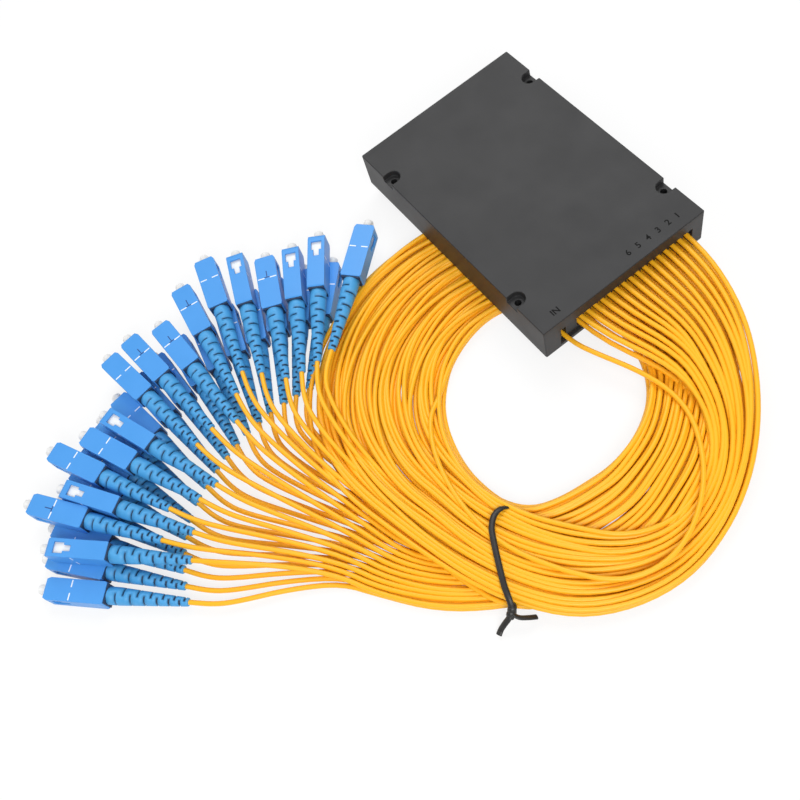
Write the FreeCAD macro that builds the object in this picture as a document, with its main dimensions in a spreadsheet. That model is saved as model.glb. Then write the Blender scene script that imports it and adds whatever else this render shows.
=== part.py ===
import FreeCAD, Part
import math
import os
import re
import Sketcher

# Fibre optic splitter: flat module box, 33 yellow pigtails in one tied coil, push-pull plugs on every tail.
# Frame in mm: origin at the centre of the box, X towards the outlets, Y across, Z up.

DIMENSIONS = (
    ("box_length", 120.0, "module box along X"),
    ("box_width", 80.0, "module box along Y"),
    ("box_height", 18.0, "module box with its lid"),
    ("lid_thick", 2.0, "lid plate"),
    ("wall", 2.0, "side walls of the tray"),
    ("floor_thick", 2.0, "floor of the tray"),
    ("corner_round", 0.6, "upright corners of the box"),
    ("hole_span_long", 82.0, "screw holes apart along X"),
    ("hole_span_wide", 74.0, "screw holes apart along Y"),
    ("hole_size", 2.6, "screw hole diameter"),
    ("notch_round", 3.1, "radius of the screw head notch"),
    ("notch_deep", 3.0, "notch floor below the lid"),
    ("boss_wall", 1.6, "wall around each notch"),
    ("lip_deep", 1.6, "locating lip under the lid"),
    ("lip_thick", 1.4, "locating lip wall"),
    ("lip_room", 1.0, "side lips stop short of the bosses"),
    ("lip_end", 6.0, "end lips stop short of the side walls"),
    ("cut_past", 1.0, "cuts run past the faces that they open"),
    ("fit_gap", 0.2, "clearance of pieces that slip into each other"),
    ("cable", 2.0, "pigtail diameter"),
    ("outlet_count", 16.0, "cables in each outlet row"),
    ("outlet_pitch", 3.6, "spacing of the outlets"),
    ("outlet_mid", 4.8, "middle of the rows across the box"),
    ("input_across", -30.0, "input cable across the box"),
    ("window_side", 2.4, "outlet window beside the end cables"),
    ("window_top", 1.8, "outlet window above the upper row"),
    ("upper_row", 1.0, "height of the upper row"),
    ("lower_row", -3.8, "height of the lower row"),
    ("input_up", -5.4, "height of the input cable"),
    ("comb_recess", 1.2, "comb set back from the end face"),
    ("comb_deep", 5.8, "comb along the cables"),
    ("anchor_deep", 3.6, "bonding block behind the comb"),
    ("anchor_gap", 3.0, "space between the comb and the block"),
    ("anchor_side", 3.0, "bonding block beside the end cables"),
    ("chip_end", 24.0, "outlet end of the chip along X"),
    ("chip_length", 50.0, "splitter chip housing"),
    ("chip_width", 7.0, "splitter chip housing"),
    ("chip_height", 4.0, "splitter chip housing"),
    ("pad_thick", 1.0, "tape under the chip"),
    ("pad_end", 2.0, "tape inside the chip's ends"),
    ("pad_side", 0.5, "tape inside the chip's sides"),
    ("ribbon_thick", 1.2, "fanned fibre ribbon"),
    ("ribbon_side", 1.0, "ribbon inside the chip's sides"),
    ("fibre", 0.9, "buffered input fibre"),
    ("coil_along", 67.0, "coil centre along X"),
    ("coil_across", -52.0, "coil centre along Y"),
    ("coil_outer", 88.0, "outer radius of the coil"),
    ("coil_inner", 44.0, "inner radius of the coil"),
    ("coil_height", 6.0, "coil from the ground to the box"),
    ("coil_bevel", 1.8, "bevel of the coil's edges"),
    ("tie_turn", -47.0, "tie around the coil in degrees"),
    ("tie_wide", 2.4, "width of the tie"),
    ("tie_thick", 0.9, "thickness of the tie"),
    ("tie_room", 1.8, "drawn-in waist on each side of the tie"),
    ("tie_end", 9.0, "twisted ends of the tie"),
    ("tie_end_round", 0.9, "radius of the twisted ends"),
    ("squeeze", 1.2, "how far the tie draws the coil in"),
    ("grip_length", 25.4, "coupling sleeve of a plug"),
    ("grip_width", 9.0, "coupling sleeve of a plug"),
    ("grip_thick", 7.4, "coupling sleeve of a plug"),
    ("grip_nose", 1.4, "bevelled front corners of the sleeve"),
    ("grip_rear", 0.8, "bevelled rear corners of the sleeve"),
    ("core_width", 6.4, "plug frame inside the sleeve"),
    ("core_thick", 5.1, "plug frame inside the sleeve"),
    ("core_gap", 0.35, "sleeve clearance around the frame"),
    ("core_setback", 2.0, "frame behind the front of the sleeve"),
    ("core_bore", 4.0, "front bore of the frame"),
    ("bore_deep", 11.0, "depth of the front bore"),
    ("neck", 4.0, "crimp neck diameter"),
    ("neck_length", 6.0, "crimp neck inside the boot"),
    ("window_length", 4.3, "side window of the sleeve"),
    ("window_high", 4.4, "side window of the sleeve"),
    ("window_tail", 3.0, "narrow rear part of the window"),
    ("window_low", 2.4, "narrow rear part of the window"),
    ("window_front", 3.0, "window behind the front of the sleeve"),
    ("boot_length", 33.0, "strain relief boot"),
    ("boot_big", 7.0, "boot at the plug"),
    ("boot_small", 3.3, "boot at the cable"),
    ("boot_collar", 4.6, "plain collar of the boot"),
    ("boot_gap", 0.4, "boot behind the sleeve"),
    ("ferrule", 2.5, "ceramic ferrule diameter"),
    ("ferrule_flange", 3.7, "ferrule flange diameter"),
    ("flange_thick", 2.0, "ferrule flange along the plug"),
    ("ferrule_reach", 1.4, "ferrule past the front of the sleeve"),
    ("cap", 4.7, "dust cap head"),
    ("cap_length", 6.0, "dust cap head"),
    ("cap_taper", 0.3, "dust cap head, smaller radius at its front"),
    ("cap_wall", 1.2, "closed front of the dust cap"),
    ("cap_skirt", 3.6, "dust cap skirt in the frame"),
    ("cap_reach", 5.0, "dust cap skirt in the frame"),
    ("cap_bore", 2.7, "dust cap bore over the ferrule"),
    ("stack_gap", 0.3, "air between stacked plugs"),
)

doc = FreeCAD.newDocument("fibre_splitter")
sheet = doc.addObject("Spreadsheet::Sheet", "Sheet")
for row, (alias, size, note) in enumerate(DIMENSIONS, start=1):
    sheet.set(f"A{row}", note)
    sheet.set(f"B{row}", str(size))
    sheet.setAlias(f"B{row}", alias)
doc.recompute()
D = {alias: float(getattr(sheet, alias)) for alias, _, _ in DIMENSIONS}

# Places of the input cable and of the outlet rows across the box
INPUT_ACROSS = "(input_across)"
FIRST_ACROSS = "(outlet_mid + outlet_pitch * (outlet_count - 1) / 2)"
LAST_ACROSS = "(outlet_mid - outlet_pitch * (outlet_count - 1) / 2)"
ROW_MIDDLE = "(outlet_mid)"

# Heights that several pieces share
GROUND = -D["box_height"] / 2 - D["coil_height"]
LID_UNDER = D["box_height"] / 2 - D["lid_thick"]
TRAY_FLOOR = -D["box_height"] / 2 + D["floor_thick"]
ANCHOR_FACE = D["box_length"] / 2 - D["comb_recess"] - D["comb_deep"] - D["anchor_gap"]


def value(text):
    """Number of an expression on the sheet's names."""
    return float(sheet.evalExpression(text))


def named(text):
    """The same expression as seen from another object."""
    return re.sub(r"[a-z_]+", lambda word: "Sheet." + word.group(), text)


def bind(item, **sizes):
    """Ties properties of an object to the sheet."""
    for prop, text in sizes.items():
        item.setExpression(prop.replace("__", "."), named(text))


def new_body(name):
    body = doc.addObject("PartDesign::Body", name)
    body.Label = name
    return body


def new_sketch(body, name, role, lift="0"):
    """Sketch on one of the body's own origin planes, lifted along its normal."""
    sketch = body.newObject("Sketcher::SketchObject", name)
    plane = next(f for f in body.Origin.OriginFeatures if f.Role == role)
    sketch.AttachmentSupport = [(plane, "")]
    sketch.MapMode = "FlatFace"
    bind(sketch, AttachmentOffset__Base__z=lift)
    return sketch


def outline(sketch, corners):
    """Closed outline whose corners are expressions measured from the sketch's origin."""
    spots = [FreeCAD.Vector(value(x), value(y), 0) for x, y in corners]
    first = sketch.GeometryCount
    count = len(spots)
    for k in range(count):
        sketch.addGeometry(Part.LineSegment(spots[k], spots[(k + 1) % count]), False)
    for k in range(count):
        sketch.addConstraint(Sketcher.Constraint("Coincident", first + k, 2, first + (k + 1) % count, 1))
    for k, (x, y) in enumerate(corners):
        for kind, text, spot in (("DistanceX", x, spots[k].x), ("DistanceY", y, spots[k].y)):
            index = sketch.addConstraint(Sketcher.Constraint(kind, -1, 1, first + k, 1, spot))
            label = f"{kind[-1].lower()}{first + k}"
            sketch.renameConstraint(index, label)
            sketch.setExpression("Constraints." + label, named(text))


def rectangle(sketch, left, low, right, high):
    outline(sketch, ((left, low), (right, low), (right, high), (left, high)))


def circle(sketch, x, y, size):
    """Circle of a bound diameter at a bound place."""
    centre = FreeCAD.Vector(value(x), value(y), 0)
    index = sketch.addGeometry(Part.Circle(centre, FreeCAD.Vector(0, 0, 1), value(size) / 2), False)
    for kind, text, spot in (("DistanceX", x, centre.x), ("DistanceY", y, centre.y)):
        made = sketch.addConstraint(Sketcher.Constraint(kind, -1, 1, index, 3, spot))
        label = f"c{kind[-1].lower()}{index}"
        sketch.renameConstraint(made, label)
        sketch.setExpression("Constraints." + label, named(text))
    made = sketch.addConstraint(Sketcher.Constraint("Diameter", index, value(size)))
    sketch.renameConstraint(made, f"d{index}")
    sketch.setExpression(f"Constraints.d{index}", named(size))


def grown(body, kind, sketch, length=None, **settings):
    """Pad or pocket of a sketch, with a bound length."""
    made = body.newObject("PartDesign::" + kind, sketch.Name + "_" + kind.lower())
    made.Profile = sketch
    sketch.Visibility = False
    for prop, setting in settings.items():
        setattr(made, prop, setting)
    if length:
        bind(made, Length=length)
    body.Tip = made
    return made


def upright_edges(item, length):
    """Names of the vertical edges of a given length."""
    found = []
    for k, edge in enumerate(item.Shape.Edges, start=1):
        box = edge.BoundBox
        if box.XLength < 1e-6 and box.YLength < 1e-6 and abs(box.ZLength - length) < 1e-4:
            found.append(f"Edge{k}")
    return found


SIDES = (("", ""), ("-", ""), ("-", "-"), ("", "-"))
HOLE_ALONG = "(hole_span_long / 2)"
HOLE_ACROSS = "(hole_span_wide / 2)"


def hole_spot(side):
    return side[0] + HOLE_ALONG, side[1] + HOLE_ACROSS


# Tray of the module box: shell, four notched screw bosses and the outlet window
tray = new_body("base_tray")
sketch = new_sketch(tray, "tray_outline", "XY_Plane", "-box_height / 2")
rectangle(sketch, "-box_length / 2", "-box_width / 2", "box_length / 2", "box_width / 2")
pad = grown(tray, "Pad", sketch, "box_height - lid_thick")
doc.recompute()
rounded = tray.newObject("PartDesign::Fillet", "tray_corners")
rounded.Base = (pad, upright_edges(pad, value("box_height - lid_thick")))
bind(rounded, Radius="corner_round")
tray.Tip = rounded
sketch = new_sketch(tray, "tray_hollow", "XY_Plane", "box_height / 2 - lid_thick")
rectangle(
    sketch,
    "-box_length / 2 + wall",
    "-box_width / 2 + wall",
    "box_length / 2 - wall",
    "box_width / 2 - wall",
)
grown(tray, "Pocket", sketch, "box_height - lid_thick - floor_thick")
sketch = new_sketch(tray, "tray_bosses", "XY_Plane", "-box_height / 2")
for along, across in SIDES:
    middle = along + HOLE_ALONG
    half = "(notch_round + boss_wall)"
    near = f"{across}({HOLE_ACROSS} - notch_round - boss_wall)"
    far = across + "(box_width / 2 - wall / 2)"
    low, high = (near, far) if not across else (far, near)
    rectangle(sketch, f"{middle} - {half}", low, f"{middle} + {half}", high)
grown(tray, "Pad", sketch, "box_height - lid_thick")
sketch = new_sketch(tray, "tray_notch_mouths", "XY_Plane", "box_height / 2 - lid_thick")
for along, across in SIDES:
    middle = along + HOLE_ALONG
    near = across + HOLE_ACROSS
    far = across + "(box_width / 2 + cut_past)"
    low, high = (near, far) if not across else (far, near)
    rectangle(sketch, f"{middle} - notch_round", low, f"{middle} + notch_round", high)
grown(tray, "Pocket", sketch, "notch_deep - lid_thick")
sketch = new_sketch(tray, "tray_notch_rounds", "XY_Plane", "box_height / 2 - lid_thick")
for side in SIDES:
    circle(sketch, *hole_spot(side), "2 * notch_round")
grown(tray, "Pocket", sketch, "notch_deep - lid_thick")
sketch = new_sketch(tray, "tray_screw_holes", "XY_Plane", "box_height / 2 - lid_thick")
for side in SIDES:
    circle(sketch, *hole_spot(side), "hole_size")
grown(tray, "Pocket", sketch, Type="ThroughAll")
sketch = new_sketch(tray, "tray_outlet_window", "YZ_Plane", "box_length / 2")
rectangle(
    sketch,
    INPUT_ACROSS + " - window_side",
    "-box_height / 2 + floor_thick",
    FIRST_ACROSS + " + window_side",
    "upper_row + window_top",
)
grown(tray, "Pocket", sketch, "wall")

# Lid: plate with the same notches, and locating lips that drop inside the tray
lid = new_body("lid")
sketch = new_sketch(lid, "lid_outline", "XY_Plane", "box_height / 2 - lid_thick")
rectangle(sketch, "-box_length / 2", "-box_width / 2", "box_length / 2", "box_width / 2")
pad = grown(lid, "Pad", sketch, "lid_thick")
doc.recompute()
rounded = lid.newObject("PartDesign::Fillet", "lid_corners")
rounded.Base = (pad, upright_edges(pad, value("lid_thick")))
bind(rounded, Radius="corner_round")
lid.Tip = rounded
sketch = new_sketch(lid, "lid_notch_mouths", "XY_Plane", "box_height / 2")
for along, across in SIDES:
    middle = along + HOLE_ALONG
    near = across + HOLE_ACROSS
    far = across + "(box_width / 2 + cut_past)"
    low, high = (near, far) if not across else (far, near)
    rectangle(sketch, f"{middle} - notch_round", low, f"{middle} + notch_round", high)
grown(lid, "Pocket", sketch, Type="ThroughAll")
sketch = new_sketch(lid, "lid_notch_rounds", "XY_Plane", "box_height / 2")
for side in SIDES:
    circle(sketch, *hole_spot(side), "2 * notch_round")
grown(lid, "Pocket", sketch, Type="ThroughAll")
sketch = new_sketch(lid, "lid_lips", "XY_Plane", "box_height / 2 - lid_thick")
reach = f"({HOLE_ALONG} - notch_round - boss_wall - lip_room)"
for across in ("", "-"):
    outer = across + "(box_width / 2 - wall - fit_gap)"
    inner = across + "(box_width / 2 - wall - fit_gap - lip_thick)"
    low, high = (inner, outer) if not across else (outer, inner)
    rectangle(sketch, "-" + reach, low, reach, high)
for along in ("", "-"):
    outer = along + "(box_length / 2 - wall - fit_gap)"
    inner = along + "(box_length / 2 - wall - fit_gap - lip_thick)"
    left, right = (inner, outer) if not along else (outer, inner)
    rectangle(sketch, left, "-box_width / 2 + wall + lip_end", right, "box_width / 2 - wall - lip_end")
grown(lid, "Pad", sketch, "lip_deep", Reversed=True)

# Comb in the outlet window: one open slot for each pair of cables, one for the input
comb = new_body("cable_comb")
sketch = new_sketch(comb, "comb_block", "YZ_Plane", "box_length / 2 - comb_recess - comb_deep")
rectangle(
    sketch,
    INPUT_ACROSS + " - window_side + fit_gap",
    "-box_height / 2 + floor_thick",
    FIRST_ACROSS + " + window_side - fit_gap",
    "upper_row + window_top - fit_gap",
)
grown(comb, "Pad", sketch, "comb_deep")
sketch = new_sketch(comb, "comb_slot", "YZ_Plane", "box_length / 2 - comb_recess")
rectangle(
    sketch,
    LAST_ACROSS + " - cable / 2 - fit_gap",
    "lower_row - cable / 2 - fit_gap",
    LAST_ACROSS + " + cable / 2 + fit_gap",
    "upper_row + window_top + cut_past",
)
slot = grown(comb, "Pocket", sketch, "comb_deep")
row = comb.newObject("PartDesign::LinearPattern", "comb_slots")
row.Originals = [slot]
row.Direction = (next(f for f in comb.Origin.OriginFeatures if f.Role == "Y_Axis"), [""])
bind(row, Length=f"{FIRST_ACROSS} - {LAST_ACROSS}")
row.Occurrences = int(D["outlet_count"])
comb.Tip = row
sketch = new_sketch(comb, "comb_input_slot", "YZ_Plane", "box_length / 2 - comb_recess")
rectangle(
    sketch,
    INPUT_ACROSS + " - cable / 2 - fit_gap",
    "input_up - cable / 2 - fit_gap",
    INPUT_ACROSS + " + cable / 2 + fit_gap",
    "upper_row + window_top + cut_past",
)
grown(comb, "Pocket", sketch, "comb_deep")


def solid_box(name, length, width, height, x, y, z):
    """Bound block at a bound corner."""
    made = doc.addObject("Part::Box", name)
    made.Label = name
    bind(made, Length=length, Width=width, Height=height)
    bind(made, Placement__Base__x=x, Placement__Base__y=y, Placement__Base__z=z)
    return made


# Inside the box: bonding block, tape pad, splitter chip and the fanned ribbon
anchor_x = "box_length / 2 - comb_recess - comb_deep - anchor_gap - anchor_deep"
floor_z = "-box_height / 2 + floor_thick"
anchor = solid_box(
    "anchor_block",
    "anchor_deep",
    f"{FIRST_ACROSS} - {INPUT_ACROSS} + 2 * anchor_side",
    "upper_row + window_top - 2 * fit_gap - (" + floor_z + ")",
    anchor_x,
    INPUT_ACROSS + " - anchor_side",
    floor_z,
)
pad = solid_box(
    "chip_pad",
    "chip_length - 2 * pad_end",
    "chip_width - 2 * pad_side",
    "pad_thick",
    "chip_end + pad_end - chip_length",
    ROW_MIDDLE + " - chip_width / 2 + pad_side",
    floor_z,
)
chip = solid_box(
    "splitter_chip",
    "chip_length",
    "chip_width",
    "chip_height",
    "chip_end - chip_length",
    ROW_MIDDLE + " - chip_width / 2",
    floor_z + " + pad_thick",
)
ribbon = new_body("fibre_ribbon")
ribbon_z = floor_z + " + pad_thick + chip_height / 2 - ribbon_thick / 2"
sketch = new_sketch(ribbon, "ribbon_outline", "XY_Plane", ribbon_z)
outline(
    sketch,
    (
        ("chip_end", ROW_MIDDLE + " - chip_width / 2 + ribbon_side"),
        (anchor_x, LAST_ACROSS),
        (anchor_x, FIRST_ACROSS),
        ("chip_end", ROW_MIDDLE + " + chip_width / 2 - ribbon_side"),
    ),
)
grown(ribbon, "Pad", sketch, "ribbon_thick")
doc.recompute()


ARC_SHARE = 0.45


def tube(points, size, report=None):
    """Round tube on straight runs joined by tangent arcs, with the smallest arc radius and its length."""
    spots = [FreeCAD.Vector(*p) for p in points]
    edges, radii, start = [], [], spots[0]
    for k in range(1, len(spots) - 1):
        back = spots[k - 1] - spots[k]
        ahead = spots[k + 1] - spots[k]
        run = min(back.Length, ahead.Length)
        turn = math.pi - back.getAngle(ahead)
        radius = ARC_SHARE * run / math.tan(turn / 2)
        radii.append(radius)
        back.normalize()
        ahead.normalize()
        enter = spots[k] + back * (ARC_SHARE * run)
        leave = spots[k] + ahead * (ARC_SHARE * run)
        inward = back + ahead
        inward.normalize()
        middle = spots[k] + inward * (radius / math.cos(turn / 2) - radius)
        edges.append(Part.makeLine(start, enter))
        edges.append(Part.Arc(enter, middle, leave).toShape())
        start = leave
    edges.append(Part.makeLine(start, spots[-1]))
    path = Part.Wire(edges)
    ring = Part.Wire(Part.makeCircle(size / 2, spots[0], spots[1] - spots[0]))
    solid = path.makePipeShell([ring], True, False)
    if report is not None:
        section = math.pi * size * size / 4 * path.Length
        report.append((min(radii), path.Length, solid.Volume / section))
    return solid


def fixed(name, shape):
    """Document object for a shape that no ready-made object gives."""
    made = doc.addObject("Part::Feature", name)
    made.Label = name
    made.Shape = shape
    return made


fibre_up = TRAY_FLOOR + D["pad_thick"] + D["chip_height"] / 2
fibre_start = value(INPUT_ACROSS)
fibre_end = value(ROW_MIDDLE)
FIBRE_ROUTE = ((ANCHOR_FACE - D["anchor_deep"], 0), (6, -1), (-30, 1), (-50, 11), (-52, 27))
fibre_points = [(x, fibre_start + side, fibre_up) for x, side in FIBRE_ROUTE]
fibre_points += [(x, fibre_end, fibre_up) for x in (-42, D["chip_end"] - D["chip_length"])]
fixed("input_fibre", tube(fibre_points, D["fibre"]))

# Coil: one closed solid for all the turns, drawn in where the tie goes round it
coil = new_body("cable_coil")
coil.Placement.Base = FreeCAD.Vector(D["coil_along"], D["coil_across"], GROUND)
coil.Placement.Rotation = FreeCAD.Rotation(FreeCAD.Vector(0, 0, 1), D["tie_turn"])
sketch = new_sketch(coil, "coil_section", "XZ_Plane")
outline(
    sketch,
    (
        ("coil_inner + coil_bevel", "0"),
        ("coil_outer - coil_bevel", "0"),
        ("coil_outer", "coil_bevel"),
        ("coil_outer", "coil_height - coil_bevel"),
        ("coil_outer - coil_bevel", "coil_height"),
        ("coil_inner + coil_bevel", "coil_height"),
        ("coil_inner", "coil_height - coil_bevel"),
        ("coil_inner", "coil_bevel"),
    ),
)
turned = coil.newObject("PartDesign::Revolution", "coil_turns")
turned.Profile = sketch
turned.ReferenceAxis = (next(f for f in coil.Origin.OriginFeatures if f.Role == "Z_Axis"), [""])
turned.Angle = 360
coil.Tip = turned
waist = coil.newObject("PartDesign::SubtractiveBox", "coil_waist")
bind(
    waist,
    Length="coil_outer - coil_inner + 2 * cut_past",
    Width="tie_wide + 2 * tie_room",
    Height="coil_height + 2 * cut_past",
)
bind(
    waist,
    Placement__Base__x="coil_inner - cut_past",
    Placement__Base__y="-tie_wide / 2 - tie_room",
    Placement__Base__z="-cut_past",
)
coil.Tip = waist
core = coil.newObject("PartDesign::AdditiveBox", "coil_core")
bind(
    core,
    Length="coil_outer - coil_inner - 4 * squeeze",
    Width="tie_wide + 2 * tie_room",
    Height="coil_height - 2 * squeeze",
)
bind(
    core,
    Placement__Base__x="coil_inner + 2 * squeeze",
    Placement__Base__y="-tie_wide / 2 - tie_room",
    Placement__Base__z="squeeze",
)
coil.Tip = core


def tie_block(name, growth):
    """Block around the drawn-in waist of the coil."""
    made = doc.addObject("Part::Box", name)
    grow = f"{growth} * tie_thick"
    bind(
        made,
        Length=f"coil_outer - coil_inner - 4 * squeeze + 2 * {grow}",
        Width="tie_wide",
        Height=f"coil_height - 2 * squeeze + 2 * {grow}",
    )
    inset = FreeCAD.Vector(
        value(f"coil_inner + 2 * squeeze - {grow}"), value("-tie_wide / 2"), value(f"squeeze - {grow}")
    )
    made.Placement = coil.Placement.multiply(FreeCAD.Placement(inset, FreeCAD.Rotation()))
    return made


band = doc.addObject("Part::Cut", "tie_band")
band.Base = tie_block("tie_outside", 1)
band.Tool = tie_block("tie_inside", 0)
ends = []
for name, lean in (("tie_end_left", -35), ("tie_end_right", 40)):
    end = doc.addObject("Part::Cylinder", name)
    bind(end, Radius="tie_end_round", Height="tie_end")
    base = FreeCAD.Vector(value("coil_outer - 2 * squeeze + 0.8 * tie_thick"), 0, value("coil_height / 2"))
    outward = FreeCAD.Rotation(FreeCAD.Vector(0, 1, 0), 90)
    tilt = FreeCAD.Rotation(FreeCAD.Vector(0, 0, 1), lean).multiply(outward)
    end.Placement = coil.Placement.multiply(FreeCAD.Placement(base, tilt))
    ends.append(end)
tie = doc.addObject("Part::MultiFuse", "coil_tie")
tie.Label = "coil_tie"
tie.Shapes = [band] + ends
doc.recompute()

# Plug poses: rear of the sleeve along X and across Y, heading of the nose in degrees,
# and True where a window faces up. Upper layer first, from the coil outwards, then the lower layer.
UPPER_PLUGS = (
    (-20, -77, 130, False),
    (-25, -91, 145, True),
    (-27, -101, 150, True),
    (-31, -110, 155, False),
    (-40, -118, 158, True),
    (-48, -127, 164, False),
    (-42, -139, 172, False),
    (-32, -151, 182, False),
    (-36, -163, 186, False),
    (-34, -173, 189, False),
    (-12, -182, 200, True),
    (-11, -192, 203, False),
    (-15, -205, 206, False),
    (2, -206, 213, True),
    (-3, -219, 216, False),
    (16, -218, 226, True),
)
LOWER_PLUGS = (
    (-18.8, -95.8, 136.0, False),
    (-22.7, -104.7, 143.0, False),
    (-25.5, -114.0, 150.0, False),
    (-27.2, -123.6, 156.0, False),
    (-28.1, -133.2, 162.0, False),
    (-28.2, -142.8, 168.0, False),
    (-27.5, -152.3, 174.0, False),
    (-26.0, -161.7, 180.0, False),
    (-23.6, -170.9, 185.0, False),
    (-20.3, -179.9, 189.0, False),
    (-16.2, -188.6, 193.0, False),
    (-11.3, -196.9, 197.5, False),
    (-5.5, -204.7, 202.5, False),
    (1.2, -211.8, 208.0, False),
    (8.5, -218.2, 214.0, False),
    (16.5, -223.8, 220.0, False),
    (25.0, -228.6, 226.0, False),
)
LOWER_AXIS = GROUND + D["grip_thick"] / 2
UPPER_DECK = GROUND + D["grip_thick"] + D["stack_gap"]


def plug_place(pose, upper):
    """Placement of a plug: X to its nose, origin at the rear of its sleeve."""
    x, y, heading, window_up = pose
    half = (D["grip_width"] if window_up else D["grip_thick"]) / 2
    z = UPPER_DECK + half if upper else LOWER_AXIS
    turn = FreeCAD.Rotation(FreeCAD.Vector(0, 0, 1), heading)
    if window_up:
        turn = turn.multiply(FreeCAD.Rotation(FreeCAD.Vector(1, 0, 0), 90))
    return FreeCAD.Placement(FreeCAD.Vector(x, y, z), turn)


PLACES = [plug_place(p, True) for p in UPPER_PLUGS] + [plug_place(p, False) for p in LOWER_PLUGS]

# Coupling sleeve: bevelled nose in plan, square tunnel for the frame, stepped side windows
grip = new_body("grip_master")
sketch = new_sketch(grip, "grip_plan", "XY_Plane", "-grip_thick / 2")
outline(
    sketch,
    (
        ("0", "-grip_width / 2 + grip_rear / 2"),
        ("grip_rear", "-grip_width / 2"),
        ("grip_length - grip_nose", "-grip_width / 2"),
        ("grip_length", "-grip_width / 2 + grip_nose / 2"),
        ("grip_length", "grip_width / 2 - grip_nose / 2"),
        ("grip_length - grip_nose", "grip_width / 2"),
        ("grip_rear", "grip_width / 2"),
        ("0", "grip_width / 2 - grip_rear / 2"),
    ),
)
grown(grip, "Pad", sketch, "grip_thick")
sketch = new_sketch(grip, "grip_tunnel", "YZ_Plane")
rectangle(
    sketch,
    "-core_width / 2 - core_gap",
    "-core_thick / 2 - core_gap",
    "core_width / 2 + core_gap",
    "core_thick / 2 + core_gap",
)
grown(grip, "Pocket", sketch, "grip_length", Reversed=True)
sketch = new_sketch(grip, "grip_windows", "XZ_Plane")
outline(
    sketch,
    (
        ("grip_length - window_front - window_length - window_tail", "-window_low / 2"),
        ("grip_length - window_front - window_length", "-window_low / 2"),
        ("grip_length - window_front - window_length", "-window_high / 2"),
        ("grip_length - window_front", "-window_high / 2"),
        ("grip_length - window_front", "window_high / 2"),
        ("grip_length - window_front - window_length", "window_high / 2"),
        ("grip_length - window_front - window_length", "window_low / 2"),
        ("grip_length - window_front - window_length - window_tail", "window_low / 2"),
    ),
)
grown(grip, "Pocket", sketch, "grip_width + 2 * cut_past", Midplane=True)

# Plug frame: square core with a front bore and a round crimp neck that holds the boot
frame = new_body("frame_master")
sketch = new_sketch(frame, "frame_section", "YZ_Plane", "-boot_gap")
rectangle(sketch, "-core_width / 2", "-core_thick / 2", "core_width / 2", "core_thick / 2")
grown(frame, "Pad", sketch, "grip_length - core_setback + boot_gap")
sketch = new_sketch(frame, "frame_bore", "YZ_Plane", "grip_length - core_setback")
circle(sketch, "0", "0", "core_bore")
grown(frame, "Pocket", sketch, "bore_deep")
sketch = new_sketch(frame, "frame_neck", "YZ_Plane", "-boot_gap")
circle(sketch, "0", "0", "neck")
grown(frame, "Pad", sketch, "neck_length", Reversed=True)


def turned_body(name, profile):
    """Body turned about X from half a section of (along, radius) expressions."""
    body = new_body(name)
    half = new_sketch(body, name + "_section", "XY_Plane")
    outline(half, profile)
    made = body.newObject("PartDesign::Revolution", name + "_turned")
    made.Profile = half
    made.ReferenceAxis = (next(f for f in body.Origin.OriginFeatures if f.Role == "X_Axis"), [""])
    made.Angle = 360
    body.Tip = made
    return body


# Ferrule with its flange on the floor of the bore
bore_floor = "grip_length - core_setback - bore_deep"
ferrule = turned_body(
    "ferrule_master",
    (
        (bore_floor, "0"),
        (bore_floor, "ferrule_flange / 2"),
        (bore_floor + " + flange_thick", "ferrule_flange / 2"),
        (bore_floor + " + flange_thick", "ferrule / 2"),
        ("grip_length + ferrule_reach", "ferrule / 2"),
        ("grip_length + ferrule_reach", "0"),
    ),
)

# Boot: plain collar, then a taper to the cable, with a blind bore on the crimp neck
boot_end = "-boot_gap - boot_length"
boot = turned_body(
    "boot_master",
    (
        ("-boot_gap", "neck / 2 + fit_gap / 2"),
        ("-boot_gap", "boot_big / 2"),
        ("-boot_gap - boot_collar", "boot_big / 2"),
        (boot_end, "boot_small / 2"),
        (boot_end, "0"),
        ("-boot_gap - neck_length", "0"),
        ("-boot_gap - neck_length", "neck / 2 + fit_gap / 2"),
    ),
)

# Dust cap: head outside the frame, skirt inside its bore, closed at the front
cap_back = "grip_length - core_setback"
cap = turned_body(
    "cap_master",
    (
        (cap_back + " - cap_reach", "cap_bore / 2"),
        (cap_back + " - cap_reach", "cap_skirt / 2"),
        (cap_back, "cap_skirt / 2"),
        (cap_back, "cap / 2"),
        (cap_back + " + cap_length", "cap / 2 - cap_taper"),
        (cap_back + " + cap_length", "0"),
        (cap_back + " + cap_length - cap_wall", "0"),
        (cap_back + " + cap_length - cap_wall", "cap_bore / 2"),
    ),
)
doc.recompute()


def group(name, master):
    """One node of like solids, one for each plug."""
    solids = []
    for place in PLACES:
        piece = master.Shape.copy()
        piece.Placement = place.multiply(piece.Placement)
        solids.append(piece)
    return fixed(name, Part.makeCompound(solids))


group("plug_frames", frame)
group("ferrules", ferrule)
group("boots", boot)
group("dust_caps", cap)
for number, place in enumerate(PLACES, start=1):
    fixed(f"grip_{number:02d}", grip.Shape.copy()).Placement = place

# Cables from the outlets: straight through the comb, then down into the coil
STRAIGHT_OUT = 6.0
DIVE_NEAR = 88.0
DIVE_SPREAD = 20.0
DIVE_SHIFT = 3.0
INPUT_RANK = 1.15
COIL_TOP = GROUND + D["coil_height"]
UPPER_SINK = COIL_TOP - 1.2
LOWER_SINK = COIL_TOP - 3.6
made_tubes = []


def outlet_route(across, up, rank, sink):
    """From the bonding block through the comb to where the cable joins the turns."""
    return (
        (ANCHOR_FACE, across, up),
        (D["box_length"] / 2 + STRAIGHT_OUT, across, up),
        (DIVE_NEAR + DIVE_SPREAD * rank, across - DIVE_SHIFT, sink),
    )


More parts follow.
